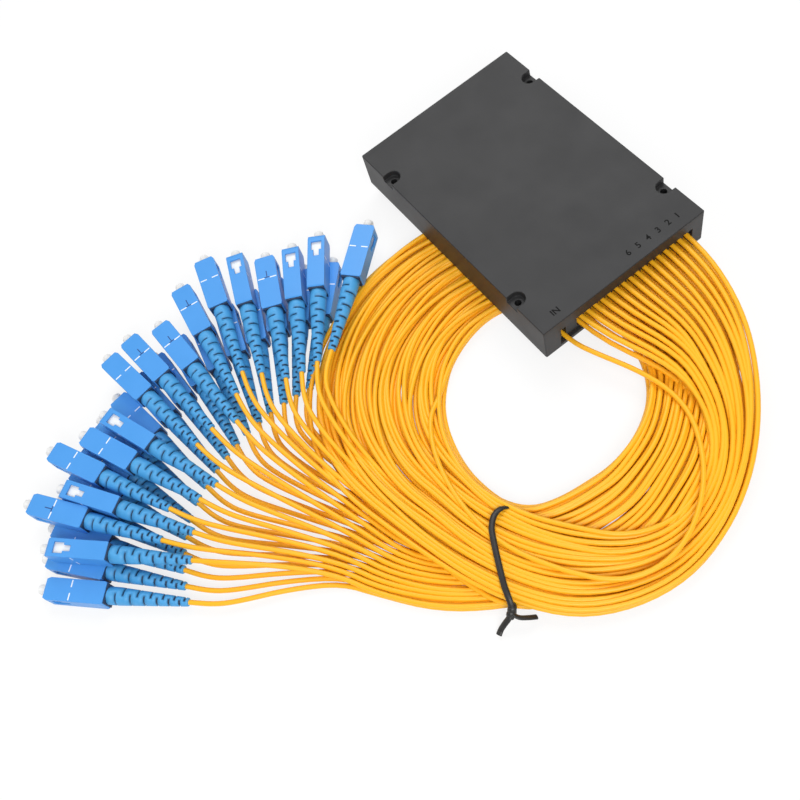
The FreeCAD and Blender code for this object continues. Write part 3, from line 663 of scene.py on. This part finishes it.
@dataclass
class CoilLanes:
    """Lanes of the coil. Angles fall along a cable, from the outlets through two turns and on to the tails.

    Each row of keys gives the angle, the inner and outer radius of the band, and the height of its lowest
    cables at the inner and at the outer edge. Each row of wander gives the angle and the size of a cable's
    own waves in radius and in height. Each row of tuck gives the angle and the lanes by which the lower
    layer lies further in. Each row of sway_waves gives a wave's share, its pace round the coil and its lag
    in phases.
    """

    centre: tuple = (67.0, -52.0)
    cable: float = 2.05
    pack: float = 0.8
    step: float = 13.5
    enter: float = 77.0
    late: float = 24.0
    leave: float = -796.0
    settle: float = 4.0
    droop: float = 1.4
    lane_count: int = 16
    second_turn: float = -210.0
    second_shift: float = 0.25
    shift_over: float = 40.0
    phase_step: float = 2.39996
    sway_waves: tuple = ((0.7, 1.3, 1.0), (0.5, 3.1, 2.0))
    lift_wave: tuple = (1.9, 1.5)
    tuck: tuple = ((77.0, 0.0), (62.0, 0.6), (45.0, 0.6), (20.0, 0.0))
    keys: tuple = (
        (77.0, 37.0, 83.0, -12.5, -12.5),
        (58.0, 48.0, 81.4, -12.5, -13.0),
        (47.0, 57.0, 81.0, -12.5, -13.2),
        (35.0, 65.0, 82.0, -12.6, -13.4),
        (25.0, 70.0, 84.0, -12.8, -13.6),
        (12.0, 72.5, 87.0, -13.0, -13.8),
        (-2.0, 72.0, 90.0, -12.6, -13.9),
        (-14.0, 67.0, 90.5, -9.6, -13.4),
        (-30.0, 56.0, 89.0, -7.4, -10.5),
        (-47.0, 49.0, 83.5, -7.9, -7.9),
        (-62.0, 44.5, 78.0, -8.6, -7.8),
        (-78.0, 41.0, 75.0, -10.4, -8.0),
        (-96.0, 39.0, 80.0, -11.4, -8.6),
        (-115.0, 38.0, 86.0, -11.6, -9.8),
        (-135.0, 37.5, 90.0, -11.6, -11.2),
        (-160.0, 38.0, 91.0, -11.6, -11.6),
        (-185.0, 39.5, 91.0, -11.6, -11.6),
        (-210.0, 42.0, 91.0, -11.7, -11.7),
        (-240.0, 43.0, 91.0, -11.7, -11.7),
        (-272.0, 43.0, 90.0, -11.7, -11.7),
        (-295.0, 43.0, 80.0, -11.6, -11.6),
        (-318.0, 43.0, 70.0, -10.6, -10.6),
        (-345.0, 43.0, 73.0, -9.4, -10.0),
        (-372.0, 44.0, 80.0, -9.6, -11.6),
        (-390.0, 46.5, 84.0, -10.2, -11.4),
        (-407.0, 50.0, 86.0, -10.6, -10.6),
        (-422.0, 45.0, 79.0, -11.6, -10.8),
        (-438.0, 41.0, 74.0, -13.4, -10.9),
        (-456.0, 39.0, 79.0, -13.9, -11.4),
        (-475.0, 38.0, 86.0, -13.9, -12.6),
        (-495.0, 37.5, 90.0, -13.9, -13.9),
        (-520.0, 38.0, 91.0, -13.9, -13.9),
        (-570.0, 42.0, 91.0, -13.9, -13.9),
        (-632.0, 43.0, 90.0, -13.9, -13.9),
        (-655.0, 43.0, 80.0, -13.9, -13.9),
        (-678.0, 43.0, 70.0, -13.9, -13.9),
        (-705.0, 43.0, 70.0, -13.9, -13.9),
        (-732.0, 44.0, 73.0, -13.9, -13.9),
        (-750.0, 46.0, 79.0, -13.6, -13.6),
        (-767.0, 51.0, 86.0, -13.2, -13.2),
        (-796.0, 64.0, 98.0, -13.8, -13.8),
    )
    wander: tuple = (
        (77.0, 0.3, 0.0),
        (35.0, 0.9, 0.1),
        (-14.0, 0.35, 0.2),
        (-47.0, 0.45, 0.2),
        (-78.0, 1.2, 0.4),
        (-120.0, 2.4, 0.7),
        (-185.0, 2.4, 0.7),
        (-215.0, 1.2, 0.2),
        (-250.0, 0.4, 0.0),
        (-300.0, 0.6, 0.1),
        (-407.0, 0.8, 0.1),
        (-480.0, 0.5, 0.1),
        (-550.0, 0.5, 0.1),
        (-600.0, 0.4, 0.0),
        (-700.0, 0.7, 0.0),
        (-796.0, 0.5, 0.0),
    )

    def turns(self, start: np.ndarray, rank: float, odd: bool, layer: Layer, seed: int) -> np.ndarray:
        """Control points of one cable through the coil.

        A cable joins the coil later by the square of its rank. Over its first part it comes down from its
        outlet: as half a cosine wave in the upper layer, and as a power of the share that is left in the
        lower one, which droops sooner.

        Args:
            start: Last point before the coil, in millimetres.
            rank: 0 for the outermost lane, 1 for the innermost.
            odd: Whether this lane is one that rises.
            layer: Layer that the cable lies in.
            seed: Number of the cable, which sets its waves.

        Returns:
            Points in millimetres, three columns.
        """
        middle = np.array(self.centre)
        offset = start[:2] - middle
        bearing = math.degrees(math.atan2(offset[1], offset[0]))
        first = min(self.enter - self.late * rank**2, bearing - self.step)
        count = int(round((first - self.leave) / self.step))
        angle = np.linspace(first, self.leave, count + 1)[:-1]
        phase = seed * self.phase_step
        radius = self.radii(angle, rank, layer, phase)
        height = self.heights(angle, rank, odd, layer, phase)
        share = np.clip((self.enter - angle) / (self.enter - self.settle), 0.0, 1.0)
        held = 0.5 + 0.5 * np.cos(np.pi * share) if layer is Layer.UPPER else (1.0 - share) ** self.droop
        height = height + (start[2] - height) * held
        turn = np.radians(angle)
        return np.column_stack([middle[0] + radius * np.cos(turn), middle[1] + radius * np.sin(turn), height])

    def radii(self, angle: np.ndarray, rank: float, layer: Layer, phase: float) -> np.ndarray:
        """Radius along a cable: between the band's edges by rank, plus slow waves of its own.

        The lanes shift a little at the second turn, and the lower layer is tucked in near the outlets.

        Args:
            angle: Angles of the points in degrees.
            rank: 0 for the outermost lane, 1 for the innermost.
            layer: Layer that the cable lies in.
            phase: Phase of the waves.

        Returns:
            One radius for each angle.
        """
        inner = smooth_keys(angle, self.keys, 1)
        outer = smooth_keys(angle, self.keys, 2)
        shifted = np.clip((self.second_turn - angle) / self.shift_over, 0.0, 1.0)
        lane = rank + self.second_shift / self.lane_count * shifted
        if layer is Layer.LOWER:
            lane = lane + smooth_keys(angle, self.tuck, 1) / self.lane_count
        turn = np.radians(angle)
        waves = sum(size * np.sin(turn * pace + lag * phase) for size, pace, lag in self.sway_waves)
        return outer + (inner - outer) * lane + smooth_keys(angle, self.wander, 1) * waves

    def heights(self, angle: np.ndarray, rank: float, odd: bool, layer: Layer, phase: float) -> np.ndarray:
        """Height along a cable where it lies in the coil, with a slow wave of its own.

        Lanes closer than a cable alternate in height by the missing side of the right triangle, and the upper
        layer lies in the gaps of the lower one.

        Args:
            angle: Angles of the points in degrees.
            rank: 0 for the outermost lane, 1 for the innermost.
            odd: Whether this lane is one that rises.
            layer: Layer that the cable lies in.
            phase: Phase of the wave.

        Returns:
            One height for each angle.
        """
        spacing = (smooth_keys(angle, self.keys, 2) - smooth_keys(angle, self.keys, 1)) / self.lane_count
        low = smooth_keys(angle, self.keys, 3) * rank + smooth_keys(angle, self.keys, 4) * (1.0 - rank)
        rise = np.sqrt(np.clip(self.cable**2 - spacing**2, 0.0, None))
        nest = np.sqrt(np.clip(self.cable**2 - (spacing / 2) ** 2, 0.0, None))
        height = low + self.pack * (rise if odd else 0.0)
        if layer is Layer.UPPER:
            height = height + self.pack * (rise + nest)
        pace, lag = self.lift_wave
        wave = 0.5 + 0.5 * np.sin(np.radians(angle) * pace + lag * phase)
        return height + smooth_keys(angle, self.wander, 2) * wave


@dataclass
class PlugPose:
    """One plug of the fan: rear of its sleeve, heading of its nose, whether a window faces up, and layer.

    Lengths are in millimetres, and the heading is in degrees.
    """

    along: float
    across: float
    heading: float
    window_up: bool
    layer: Layer

    def place(self, ground: float, thick: float, wide: float, gap: float) -> Matrix:
        """Placement with X to the nose, turned by the heading, and on its side where a window faces up.

        Args:
            ground: Height of the ground.
            thick: Thickness of a sleeve.
            wide: Width of a sleeve.
            gap: Air between the two layers.

        Returns:
            The placement in millimetres.
        """
        half = (wide if self.window_up else thick) / 2
        up = ground + thick + gap + half if self.layer is Layer.UPPER else ground + thick / 2
        turn = Matrix.Rotation(math.radians(self.heading), 4, "Z")
        if self.window_up:
            turn = turn @ Matrix.Rotation(math.radians(90.0), 4, "X")
        return Matrix.Translation((self.along, self.across, up)) @ turn


# Plugs from the end of the fan by the box: rear of the sleeve along and across, heading, window up
UPPER_PLUGS = (
    (-20, -77, 130, False),
    (-25, -91, 145, True),
    (-27, -101, 150, True),
    (-31, -110, 155, False),
    (-40, -118, 158, True),
    (-48, -127, 164, False),
    (-42, -139, 172, False),
    (-32, -151, 182, False),
    (-36, -163, 186, False),
    (-34, -173, 189, False),
    (-12, -182, 200, True),
    (-11, -192, 203, False),
    (-15, -205, 206, False),
    (2, -206, 213, True),
    (-3, -219, 216, False),
    (16, -218, 226, True),
)
LOWER_PLUGS = (
    (-18.8, -95.8, 136.0, False),
    (-22.7, -104.7, 143.0, False),
    (-25.5, -114.0, 150.0, False),
    (-27.2, -123.6, 156.0, False),
    (-28.1, -133.2, 162.0, False),
    (-28.2, -142.8, 168.0, False),
    (-27.5, -152.3, 174.0, False),
    (-26.0, -161.7, 180.0, False),
    (-23.6, -170.9, 185.0, False),
    (-20.3, -179.9, 189.0, False),
    (-16.2, -188.6, 193.0, False),
    (-11.3, -196.9, 197.5, False),
    (-5.5, -204.7, 202.5, False),
    (1.2, -211.8, 208.0, False),
    (8.5, -218.2, 214.0, False),
    (16.5, -223.8, 220.0, False),
    (25.0, -228.6, 226.0, False),
)


@dataclass
class Plug:
    """A push-pull plug: eased sleeve, slotted boot with painted shade in the slits, a square foot painted
    dark as shade, dust cap, dashes and a key mark of painted shade.

    Lengths are in millimetres along the plug's own X axis, from the rear of the sleeve to the nose. Rows of
    cap_rim and cap_nose give a distance ahead of the cap's back or behind its front, and how far the surface
    lies inside the cap's round. Rows of key_bars give the start and end ahead of the dashes, and half the
    width.
    """

    number: int
    pose: PlugPose
    paints: Paints
    ground: float = -15.0
    grip_length: float = 25.4
    grip_width: float = 9.0
    grip_thick: float = 7.4
    grip_edge: float = 0.3
    foot_width: float = 7.8
    foot_thick: float = 6.6
    foot_sink: float = 0.3
    foot_gap: float = 0.04
    stack_gap: float = 0.3
    boot_front: float = -0.4
    boot_length: float = 33.0
    boot_big: float = 7.0
    boot_small: float = 3.3
    boot_collar: float = 4.6
    boot_pole: float = 0.3
    boot_ease: float = 0.3
    heel_ease: float = 0.25
    boot_sides: int = 40
    slit_count: int = 12
    slit_wide: float = 0.90
    slit_deep: float = 0.34
    slit_edge: float = 0.05
    slit_reach: float = 98.0
    slit_sharp: float = 30.0
    slit_first: float = 3.9
    slit_last: float = 31.6
    slit_crowd: float = 0.25
    cap_back: float = 23.4
    cap_length: float = 6.0
    cap_round: float = 2.35
    cap_skirt: float = 1.8
    cap_bore: float = 1.35
    cap_reach: float = 5.0
    cap_floor: float = 1.2
    cap_pole: float = 0.05
    cap_rim: tuple = ((0.0, 0.15), (0.15, 0.0), (1.0, 0.0), (1.1, 0.18))
    cap_nose: tuple = ((0.7, 0.30), (0.25, 0.45), (0.0, 0.9))
    cap_sides: int = 24
    dash_back: float = 11.0
    dash_wide: float = 0.5
    dash_span: tuple = (1.15, 4.0)
    key_bars: tuple = ((0.1, 0.55, 1.2), (0.55, 3.6, 0.2))
    ink_sink: float = 0.05
    ink_proud: float = 0.03
    marked: tuple = (4, 7, 8, 9, 15)

    def matrix(self) -> Matrix:
        """Placement of the plug in millimetres."""
        return self.pose.place(self.ground, self.grip_thick, self.grip_width, self.stack_gap)

    def heel(self) -> float:
        """Rear end of the boot along the plug."""
        return self.boot_front - self.boot_length

    def label(self, kind: str) -> str:
        """Name of a piece of this plug."""
        return f"{kind}_{self.number:02d}"

    def build(self) -> list[bpy.types.Object]:
        """Makes the pieces of the plug.

        Returns:
            The pieces that go with its cable.
        """
        body = self.label("grip")
        sleeve = EdgeEasing(self.grip_edge).copy_of(body, self.label("sleeve"))
        dress(sleeve, self.paints.get("blue_grip"), body)
        # The boot's finish paints shade into its slits.
        boot = dress(self.boot(), self.paints.get("blue_boot"))
        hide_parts("boots")
        # The foot's dark finish is painted shade of the sleeve's rear recess.
        flange = dress(self.flange(), self.paints.get("painted_recess_shade"))
        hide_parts("boots")
        cap = dress(self.cap(), self.paints.get("milky_cap"))
        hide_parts("dust_caps")
        dashes = dress(self.dashes(), self.paints.get("dash_ink"), body)
        pieces = [sleeve, boot, flange, cap, dashes]
        # The key mark is painted shade of the key.
        if self.number in self.marked:
            pieces.append(dress(self.key_mark(), self.paints.get("painted_key_shade"), body))
        LOG.info("plug %02d", self.number)
        return pieces

    def lathe(self, name: str, along: np.ndarray, radius: np.ndarray) -> bpy.types.Object:
        """Turns rings about the plug's X axis.

        A point is (along, radius cos v, radius sin v), with v evenly round the axis.

        Args:
            name: Name of the piece.
            along: Place of each ring.
            radius: Radius of each ring, one row for each ring and one column for each side.

        Returns:
            The closed piece in place.
        """
        sides = radius.shape[1]
        turn = np.linspace(0.0, 2.0 * np.pi, sides, endpoint=False)[None, :]
        place = np.broadcast_to(along[:, None], radius.shape)
        points = np.stack([place, radius * np.cos(turn), radius * np.sin(turn)], axis=-1).reshape(-1, 3)
        return mesh_piece(name, placed(points, self.matrix()) * MM, tube_faces(len(along), sides))

    def boot(self) -> bpy.types.Object:
        """Boot: a plain collar and a taper, cut by slits that come in turn from the left and from the right.

        Each slit is a short run of rings whose radius drops by a share of itself, as far round the axis as
        the slit reaches from its own side. The slits stand closer towards the cable: the place of each is an
        even share s of their stretch, plus the crowding times s (1 - s). The rings are then put in order.

        Returns:
            The boot.
        """
        front = self.boot_front
        taper_start = front - self.boot_collar
        heel = self.heel()
        number = np.arange(self.slit_count)
        share = number / (self.slit_count - 1)
        share = share + self.slit_crowd * share * (1.0 - share)
        middle = front - self.slit_first - (self.slit_last - self.slit_first) * share
        half = self.slit_wide / 2
        offsets = np.array([half + self.slit_edge, half, -half, -half - self.slit_edge])
        slit_rings = (middle[:, None] + offsets[None, :]).ravel()
        slit_depth_and_shade = np.tile([0.0, 1.0, 1.0, 0.0], self.slit_count)
        slit_side = np.repeat(np.where(number % 2 == 0, 1.0, -1.0), len(offsets))
        collar_rings = [front, front, front - self.boot_ease, taper_start]
        heel_rings = [heel + self.heel_ease, heel, heel]
        plain = (len(collar_rings), len(heel_rings))
        along = np.concatenate([collar_rings, slit_rings, heel_rings])
        order = np.argsort(-along, kind="stable")
        along = along[order]
        depth = np.pad(slit_depth_and_shade, plain)[order]
        side = np.pad(slit_side, plain)[order]
        share = np.clip((taper_start - along) / (taper_start - heel), 0.0, 1.0)
        base = (self.boot_big + (self.boot_small - self.boot_big) * share) / 2
        base[[0, -1]] = self.boot_pole
        base[1] -= self.boot_ease
        base[-2] -= self.heel_ease
        turn = np.linspace(0.0, 2.0 * np.pi, self.boot_sides, endpoint=False)
        reach = math.cos(math.radians(self.slit_reach))
        wave = np.sin(turn) if self.pose.window_up else np.cos(turn)
        inside = 1.0 / (1.0 + np.exp(-(side[:, None] * wave[None, :] - reach) * self.slit_sharp))
        cut = depth[:, None] * inside
        radius = base[:, None] * (1.0 - self.slit_deep * cut)
        piece = self.lathe(self.label("boot"), along[::-1], radius[::-1])
        # The slit depth is kept on the points, where the boot's finish paints shade into the slits.
        shade = piece.data.attributes.new(SLIT_SHADE, "FLOAT", "POINT")
        shade.data.foreach_set("value", cut[::-1].ravel())
        return piece

    def cap(self) -> bpy.types.Object:
        """Dust cap: from the inner end of its bore back over the skirt, then along the head to its front.

        Returns:
            The cap.
        """
        back = self.cap_back
        front = back + self.cap_length
        floor = front - self.cap_floor
        rear = back - self.cap_reach
        rim = [(back + ahead, self.cap_round - inset) for ahead, inset in self.cap_rim]
        nose = [(front - behind, self.cap_round - inset) for behind, inset in self.cap_nose]
        profile = np.array(
            [
                (floor, self.cap_pole),
                (floor, self.cap_bore),
                (rear, self.cap_bore),
                (rear, self.cap_skirt),
                (back, self.cap_skirt),
                *rim,
                *nose,
                (front, self.cap_pole),
            ]
        )
        return self.lathe(self.label("cap"), profile[:, 0], np.repeat(profile[:, 1:], self.cap_sides, axis=1))

    def blocks(self, name: str, corners: Sequence[tuple[float, ...]]) -> bpy.types.Object:
        """Square blocks in the plug's own axes.

        Args:
            name: Name of the piece.
            corners: Rows of (low and high end along the plug, across it and up).

        Returns:
            The blocks as one piece.
        """
        loop = np.array([[0, 1, 3, 2], [4, 6, 7, 5], [0, 4, 5, 1], [2, 3, 7, 6], [0, 2, 6, 4], [1, 5, 7, 3]])
        points = []
        faces = []
        for back, front, left, right, low, high in corners:
            faces += (loop + len(points)).tolist()
            points += [(x, y, z) for x in (back, front) for y in (left, right) for z in (low, high)]
        return mesh_piece(name, placed(np.array(points), self.matrix()) * MM, faces, smooth=False)

    def flange(self) -> bpy.types.Object:
        """Square foot of the boot, which covers the frame and stays inside the sleeve's rim. Its dark finish
        is painted shade of the recess at the rear of the sleeve.

        Returns:
            The foot.
        """
        wide = self.foot_width / 2
        high = self.foot_thick / 2
        back = self.boot_front - self.foot_sink
        return self.blocks(self.label("flange"), [(back, -self.foot_gap, -wide, wide, -high, high)])

    def skin(self, up: float) -> tuple[float, float]:
        """Low and high side of a thin block just proud of a wide face.

        Args:
            up: Above 0 for the upper face, below 0 for the lower one.

        Returns:
            The two heights.
        """
        near = self.grip_thick / 2 - self.ink_sink
        far = self.grip_thick / 2 + self.ink_proud
        return (near, far) if up > 0 else (-far, -near)

    def dashes(self) -> bpy.types.Object:
        """Two short dashes across each wide face that doesn't lie on the ground.

        Returns:
            The dashes as one piece.
        """
        middle = self.grip_length - self.dash_back
        half = self.dash_wide / 2
        inner, outer = self.dash_span
        shown = (-1.0, 1.0) if self.pose.layer is Layer.UPPER else (1.0,)
        spans = ((-outer, -inner), (inner, outer))
        rows = [(middle - half, middle + half, *span, *self.skin(up)) for up in shown for span in spans]
        return self.blocks(self.label("dashes"), rows)

    def key_mark(self) -> bpy.types.Object:
        """Dark mark on one wide face that paints the key's shade: a foot between the dashes and a stem
        towards the nose.

        Returns:
            The mark.
        """
        middle = self.grip_length - self.dash_back
        skin = self.skin(1.0)
        rows = [(middle + start, middle + end, -half, half, *skin) for start, end, half in self.key_bars]
        return self.blocks(self.label("key_mark"), rows)


@dataclass
class Pigtail:
    """One cable from its outlet through the coil to its plug.

    The two tail_lanes are the radii at which the innermost and the outermost tail leave the coil. The pulls
    are the lengths of a tail's end directions, as shares of its span.
    """

    plug: Plug
    layer: Layer
    rank: float
    outlets: Outlets
    lanes: CoilLanes
    number: int
    is_input: bool = False
    cable: float = 2.0
    leave_turn: float = -76.0
    tail_lanes: tuple = (64.0, 98.0)
    tail_up: dict = field(default_factory=lambda: {Layer.UPPER: -12.3, Layer.LOWER: -13.8})
    tail_steps: tuple = (0.0, 0.24, 0.53, 0.82, 1.0)
    tail_run: float = 10.0
    leave_pull: float = 0.95
    arrive_pull: float = 0.6
    inside_boot: float = 8.0
    round_steps: int = 3
    run_steps: int = 4

    def tail(self) -> np.ndarray:
        """Bend from a lane of the coil to the boot.

        A cubic with given ends and directions, read at a few steps, then the end of the boot and the crimp.

        Returns:
            Points in millimetres.
        """
        place = self.plug.matrix()
        heel = self.plug.heel()
        lane = self.tail_lanes[0] + (self.tail_lanes[1] - self.tail_lanes[0]) * (1.0 - self.rank)
        turn = math.radians(self.leave_turn)
        out = np.array([math.cos(turn), math.sin(turn), 0.0])
        start = np.array([*self.lanes.centre, self.tail_up[self.layer]]) + out * lane
        near = np.array(place @ Vector((heel - self.tail_run, 0.0, 0.0)))
        span = np.linalg.norm(near - start)
        leave = np.array([out[1], -out[0], 0.0]) * self.leave_pull * span
        arrive = np.array(place.to_3x3() @ Vector((1.0, 0.0, 0.0))) * self.arrive_pull * span
        step = np.array(self.tail_steps)[:, None]
        curve = (
            start * (2 * step**3 - 3 * step**2 + 1)
            + leave * (step**3 - 2 * step**2 + step)
            + near * (3 * step**2 - 2 * step**3)
            + arrive * (step**3 - step**2)
        )
        ends = [np.array(place @ Vector((x, 0.0, 0.0))) for x in (heel, -self.inside_boot)]
        return np.vstack([curve, ends])

    def route(self) -> np.ndarray:
        """Whole route from the bonding block to the crimp.

        Returns:
            Points in millimetres.
        """
        lane_count = self.lanes.lane_count
        if self.is_input:
            head = self.outlets.input_run()
            lane = 1.0
        elif self.layer is Layer.LOWER:
            hole = int(round(self.rank * lane_count))
            head = self.outlets.lead(hole, self.layer)
            lane = hole / lane_count
        else:
            hole = int(round(self.rank * (self.outlets.count - 1)))
            head = self.outlets.lead(hole, self.layer)
            lane = (hole + 0.5) / lane_count
        body = self.lanes.turns(head[-1], lane, self.number % 2 == 1, self.layer, self.number)
        return np.vstack([head, body, self.tail()])

    def build(self, paint: bpy.types.Material, with_pieces: list[bpy.types.Object]) -> None:
        """Args:
            paint: Finish of the jacket.
            with_pieces: Pieces of its plug. Not used.
        """
        name = "input_pigtail" if self.is_input else f"{self.layer.value}_pigtail_{self.number:02d}"
        points = self.route() * MM
        data = bpy.data.curves.new(name, "CURVE")
        data.dimensions = "3D"
        data.bevel_depth = self.cable / 2 * MM
        data.bevel_resolution = self.round_steps
        data.resolution_u = self.run_steps
        data.use_fill_caps = True
        spline = data.splines.new("NURBS")
        spline.points.add(len(points) - 1)
        weighted = np.column_stack([points, np.ones(len(points))])
        spline.points.foreach_set("co", weighted.ravel())
        spline.order_u = 3
        spline.use_endpoint_u = True
        piece = dress(linked(name, data), paint)
        start_node = "input_cable" if self.is_input else f"{self.layer.value}_outlet_cables"
        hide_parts(start_node, "cable_coil", f"{self.layer.value}_tails")

    @staticmethod
    def line_length(points: np.ndarray) -> float:
        """Length of the smooth line: of the polygon through the middles of its runs and its two ends.

        Args:
            points: Control points of the spline.

        Returns:
            The length, in the unit of the points.
        """
        middles = (points[1:] + points[:-1]) / 2
        line = np.vstack([points[:1], middles, points[-1:]])
        return float(np.linalg.norm(np.diff(line, axis=0), axis=1).sum())


@dataclass
class TwistTie:
    """Black covered wire round the coil: a hook inside, over the top, a twist outside and two free ends."""

    paints: Paints
    wide: float = 1.15
    thick: float = 0.6
    sides: int = 12
    loop: tuple = (
        (99.9, -87.8, -11.5),
        (99.2, -89.1, -8.6),
        (98.4, -91.0, -6.2),
        (97.9, -93.4, -4.6),
        (98.6, -96.6, -3.8),
        (101.2, -99.8, -3.5),
        (104.8, -102.2, -3.4),
        (114.4, -107.1, -3.5),
        (121.0, -110.2, -3.9),
        (126.0, -112.0, -5.2),
        (128.6, -113.4, -8.6),
        (128.0, -113.0, -12.8),
        (122.0, -108.0, -14.3),
        (110.0, -96.0, -14.35),
        (101.5, -88.6, -13.6),
    )
    ends: tuple = (
        (
            (128.4, -113.6, -8.2),
            (129.4, -115.6, -9.0),
            (129.6, -118.0, -10.8),
            (129.8, -120.0, -12.8),
            (130.6, -121.8, -13.7),
        ),
        (
            (128.8, -113.4, -8.2),
            (130.4, -113.4, -8.6),
            (131.8, -112.4, -9.2),
            (133.2, -110.2, -10.4),
            (134.4, -107.6, -12.2),
        ),
    )
    loop_flat: tuple = (-0.73, -0.68, 0.0)
    end_flats: tuple = ((1.0, 0.0, 0.0), (0.6, -0.5, 0.6))
    knot: tuple = ((127.4, -112.0, -6.8), (129.2, -115.0, -9.4))
    knot_round: float = 1.0
    knot_turns: float = 2.5
    knot_points: int = 21
    line_steps: int = 8
    weld_gap: float = 0.001

    def build(self) -> None:
        """Sweeps the loop, the knot and the two ends, and dresses them."""
        lines = [("tie_loop", np.array(self.loop), True, self.loop_flat)]
        lines.append(("tie_knot", self.spiral(), False, np.subtract(self.knot[1], self.knot[0])))
        for number, (points, flat) in enumerate(zip(self.ends, self.end_flats), start=1):
            lines.append((f"tie_end_{number}", np.array(points), False, flat))
        for name, points, closed, flat in lines:
            piece = self.sweep(name, points, closed, np.array(flat))
            dress(piece, self.paints.get("black_tie"))
            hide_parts("coil_tie")
            LOG.info("tie piece %s", name)

    def spiral(self) -> np.ndarray:
        """Line of the knot: turns about its axis, a circle that moves evenly along it.

        Returns:
            Points in millimetres.
        """
        low, high = np.array(self.knot)
        axis = (high - low) / np.linalg.norm(high - low)
        first = np.cross(axis, (0.0, 0.0, 1.0))
        first /= np.linalg.norm(first)
        second = np.cross(axis, first)
        share = np.linspace(0.0, 1.0, self.knot_points)[:, None]
        turn = share * 2.0 * np.pi * self.knot_turns
        return low + (high - low) * share + self.knot_round * (first * np.cos(turn) + second * np.sin(turn))

    def smooth_line(self, points: np.ndarray, closed: bool) -> np.ndarray:
        """Spline through points, whose tangent at each is half the step between its neighbours.

        Args:
            points: Points of the line.
            closed: Whether the line joins its own start.

        Returns:
            Points along the line. The first is repeated at the end of a closed one.
        """
        if closed:
            ring = np.vstack([points[-1:], points, points[:2]])
        else:
            ring = np.vstack([2 * points[:1] - points[1:2], points, 2 * points[-1:] - points[-2:-1]])
        step = np.linspace(0.0, 1.0, self.line_steps, endpoint=False)[None, :, None]
        before, start, end, after = (ring[k : len(ring) - 3 + k][:, None, :] for k in range(4))
        line = 0.5 * (
            2 * start
            + (end - before) * step
            + (2 * before - 5 * start + 4 * end - after) * step**2
            + (3 * start - before - 3 * end + after) * step**3
        )
        line = line.reshape(-1, 3)
        return np.vstack([line, line[:1] if closed else points[-1:]])

    def sweep(self, name: str, points: np.ndarray, closed: bool, flat: np.ndarray) -> bpy.types.Object:
        """Carries an oval section along a smooth line.

        The section is wide along the flat direction, made square to the line, and thin along the other
        normal.

        Args:
            name: Name of the piece.
            points: Points of the line in millimetres.
            closed: Whether the line joins its own start.
            flat: Direction in which the section is wide, never along the line.

        Returns:
            The swept piece.
        """
        line = self.smooth_line(points, closed)
        ahead = np.gradient(line, axis=0)
        if closed:
            ahead[0] = ahead[-1] = line[1] - line[-2]
        ahead /= np.linalg.norm(ahead, axis=1, keepdims=True)
        across = flat[None, :] - ahead * (ahead @ flat)[:, None]
        across /= np.linalg.norm(across, axis=1, keepdims=True)
        other = np.cross(ahead, across)
        turn = np.linspace(0.0, 2.0 * np.pi, self.sides, endpoint=False)
        ring_points = (
            line[:, None, :]
            + across[:, None, :] * (self.wide * np.cos(turn))[None, :, None]
            + other[:, None, :] * (self.thick * np.sin(turn))[None, :, None]
        )
        faces = tube_faces(len(line), self.sides)
        if closed:
            faces = faces[:-2]
        piece = mesh_piece(name, ring_points.reshape(-1, 3) * MM, faces)
        if closed:
            self.weld(piece)
        return piece

    def weld(self, piece: bpy.types.Object) -> None:
        """Merges the doubled ring where the loop closes.

        Args:
            piece: The loop.
        """
        shape = bmesh.new()
        shape.from_mesh(piece.data)
        bmesh.ops.remove_doubles(shape, verts=shape.verts, dist=self.weld_gap * MM)
        shape.to_mesh(piece.data)
        shape.free()


@dataclass
class Splitter:
    """The whole object: case, plugs, cables and tie."""

    paints: Paints = field(default_factory=Paints)
    outlets: Outlets = field(default_factory=Outlets)
    lanes: CoilLanes = field(default_factory=CoilLanes)

    def build(self) -> None:
        """Builds the pieces in order. The first plug of the lower layer is the input's."""
        ModuleBox(self.paints).build()
        number = 0
        for layer, poses in ((Layer.UPPER, UPPER_PLUGS), (Layer.LOWER, LOWER_PLUGS)):
            for place, pose in enumerate(poses):
                number += 1
                plug = Plug(number, PlugPose(*pose, layer), self.paints)
                pieces = plug.build()
                rank = 1.0 - place / (len(poses) - 1)
                is_input = layer is Layer.LOWER and place == 0
                cable = Pigtail(plug, layer, rank, self.outlets, self.lanes, number, is_input)
                cable.build(self.paints.get("yellow_jacket"), pieces)
        TwistTie(self.paints).build()


def main() -> None:
    """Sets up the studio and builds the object."""
    Studio().build()
    Splitter().build()


if __name__ == "__main__":
    main()
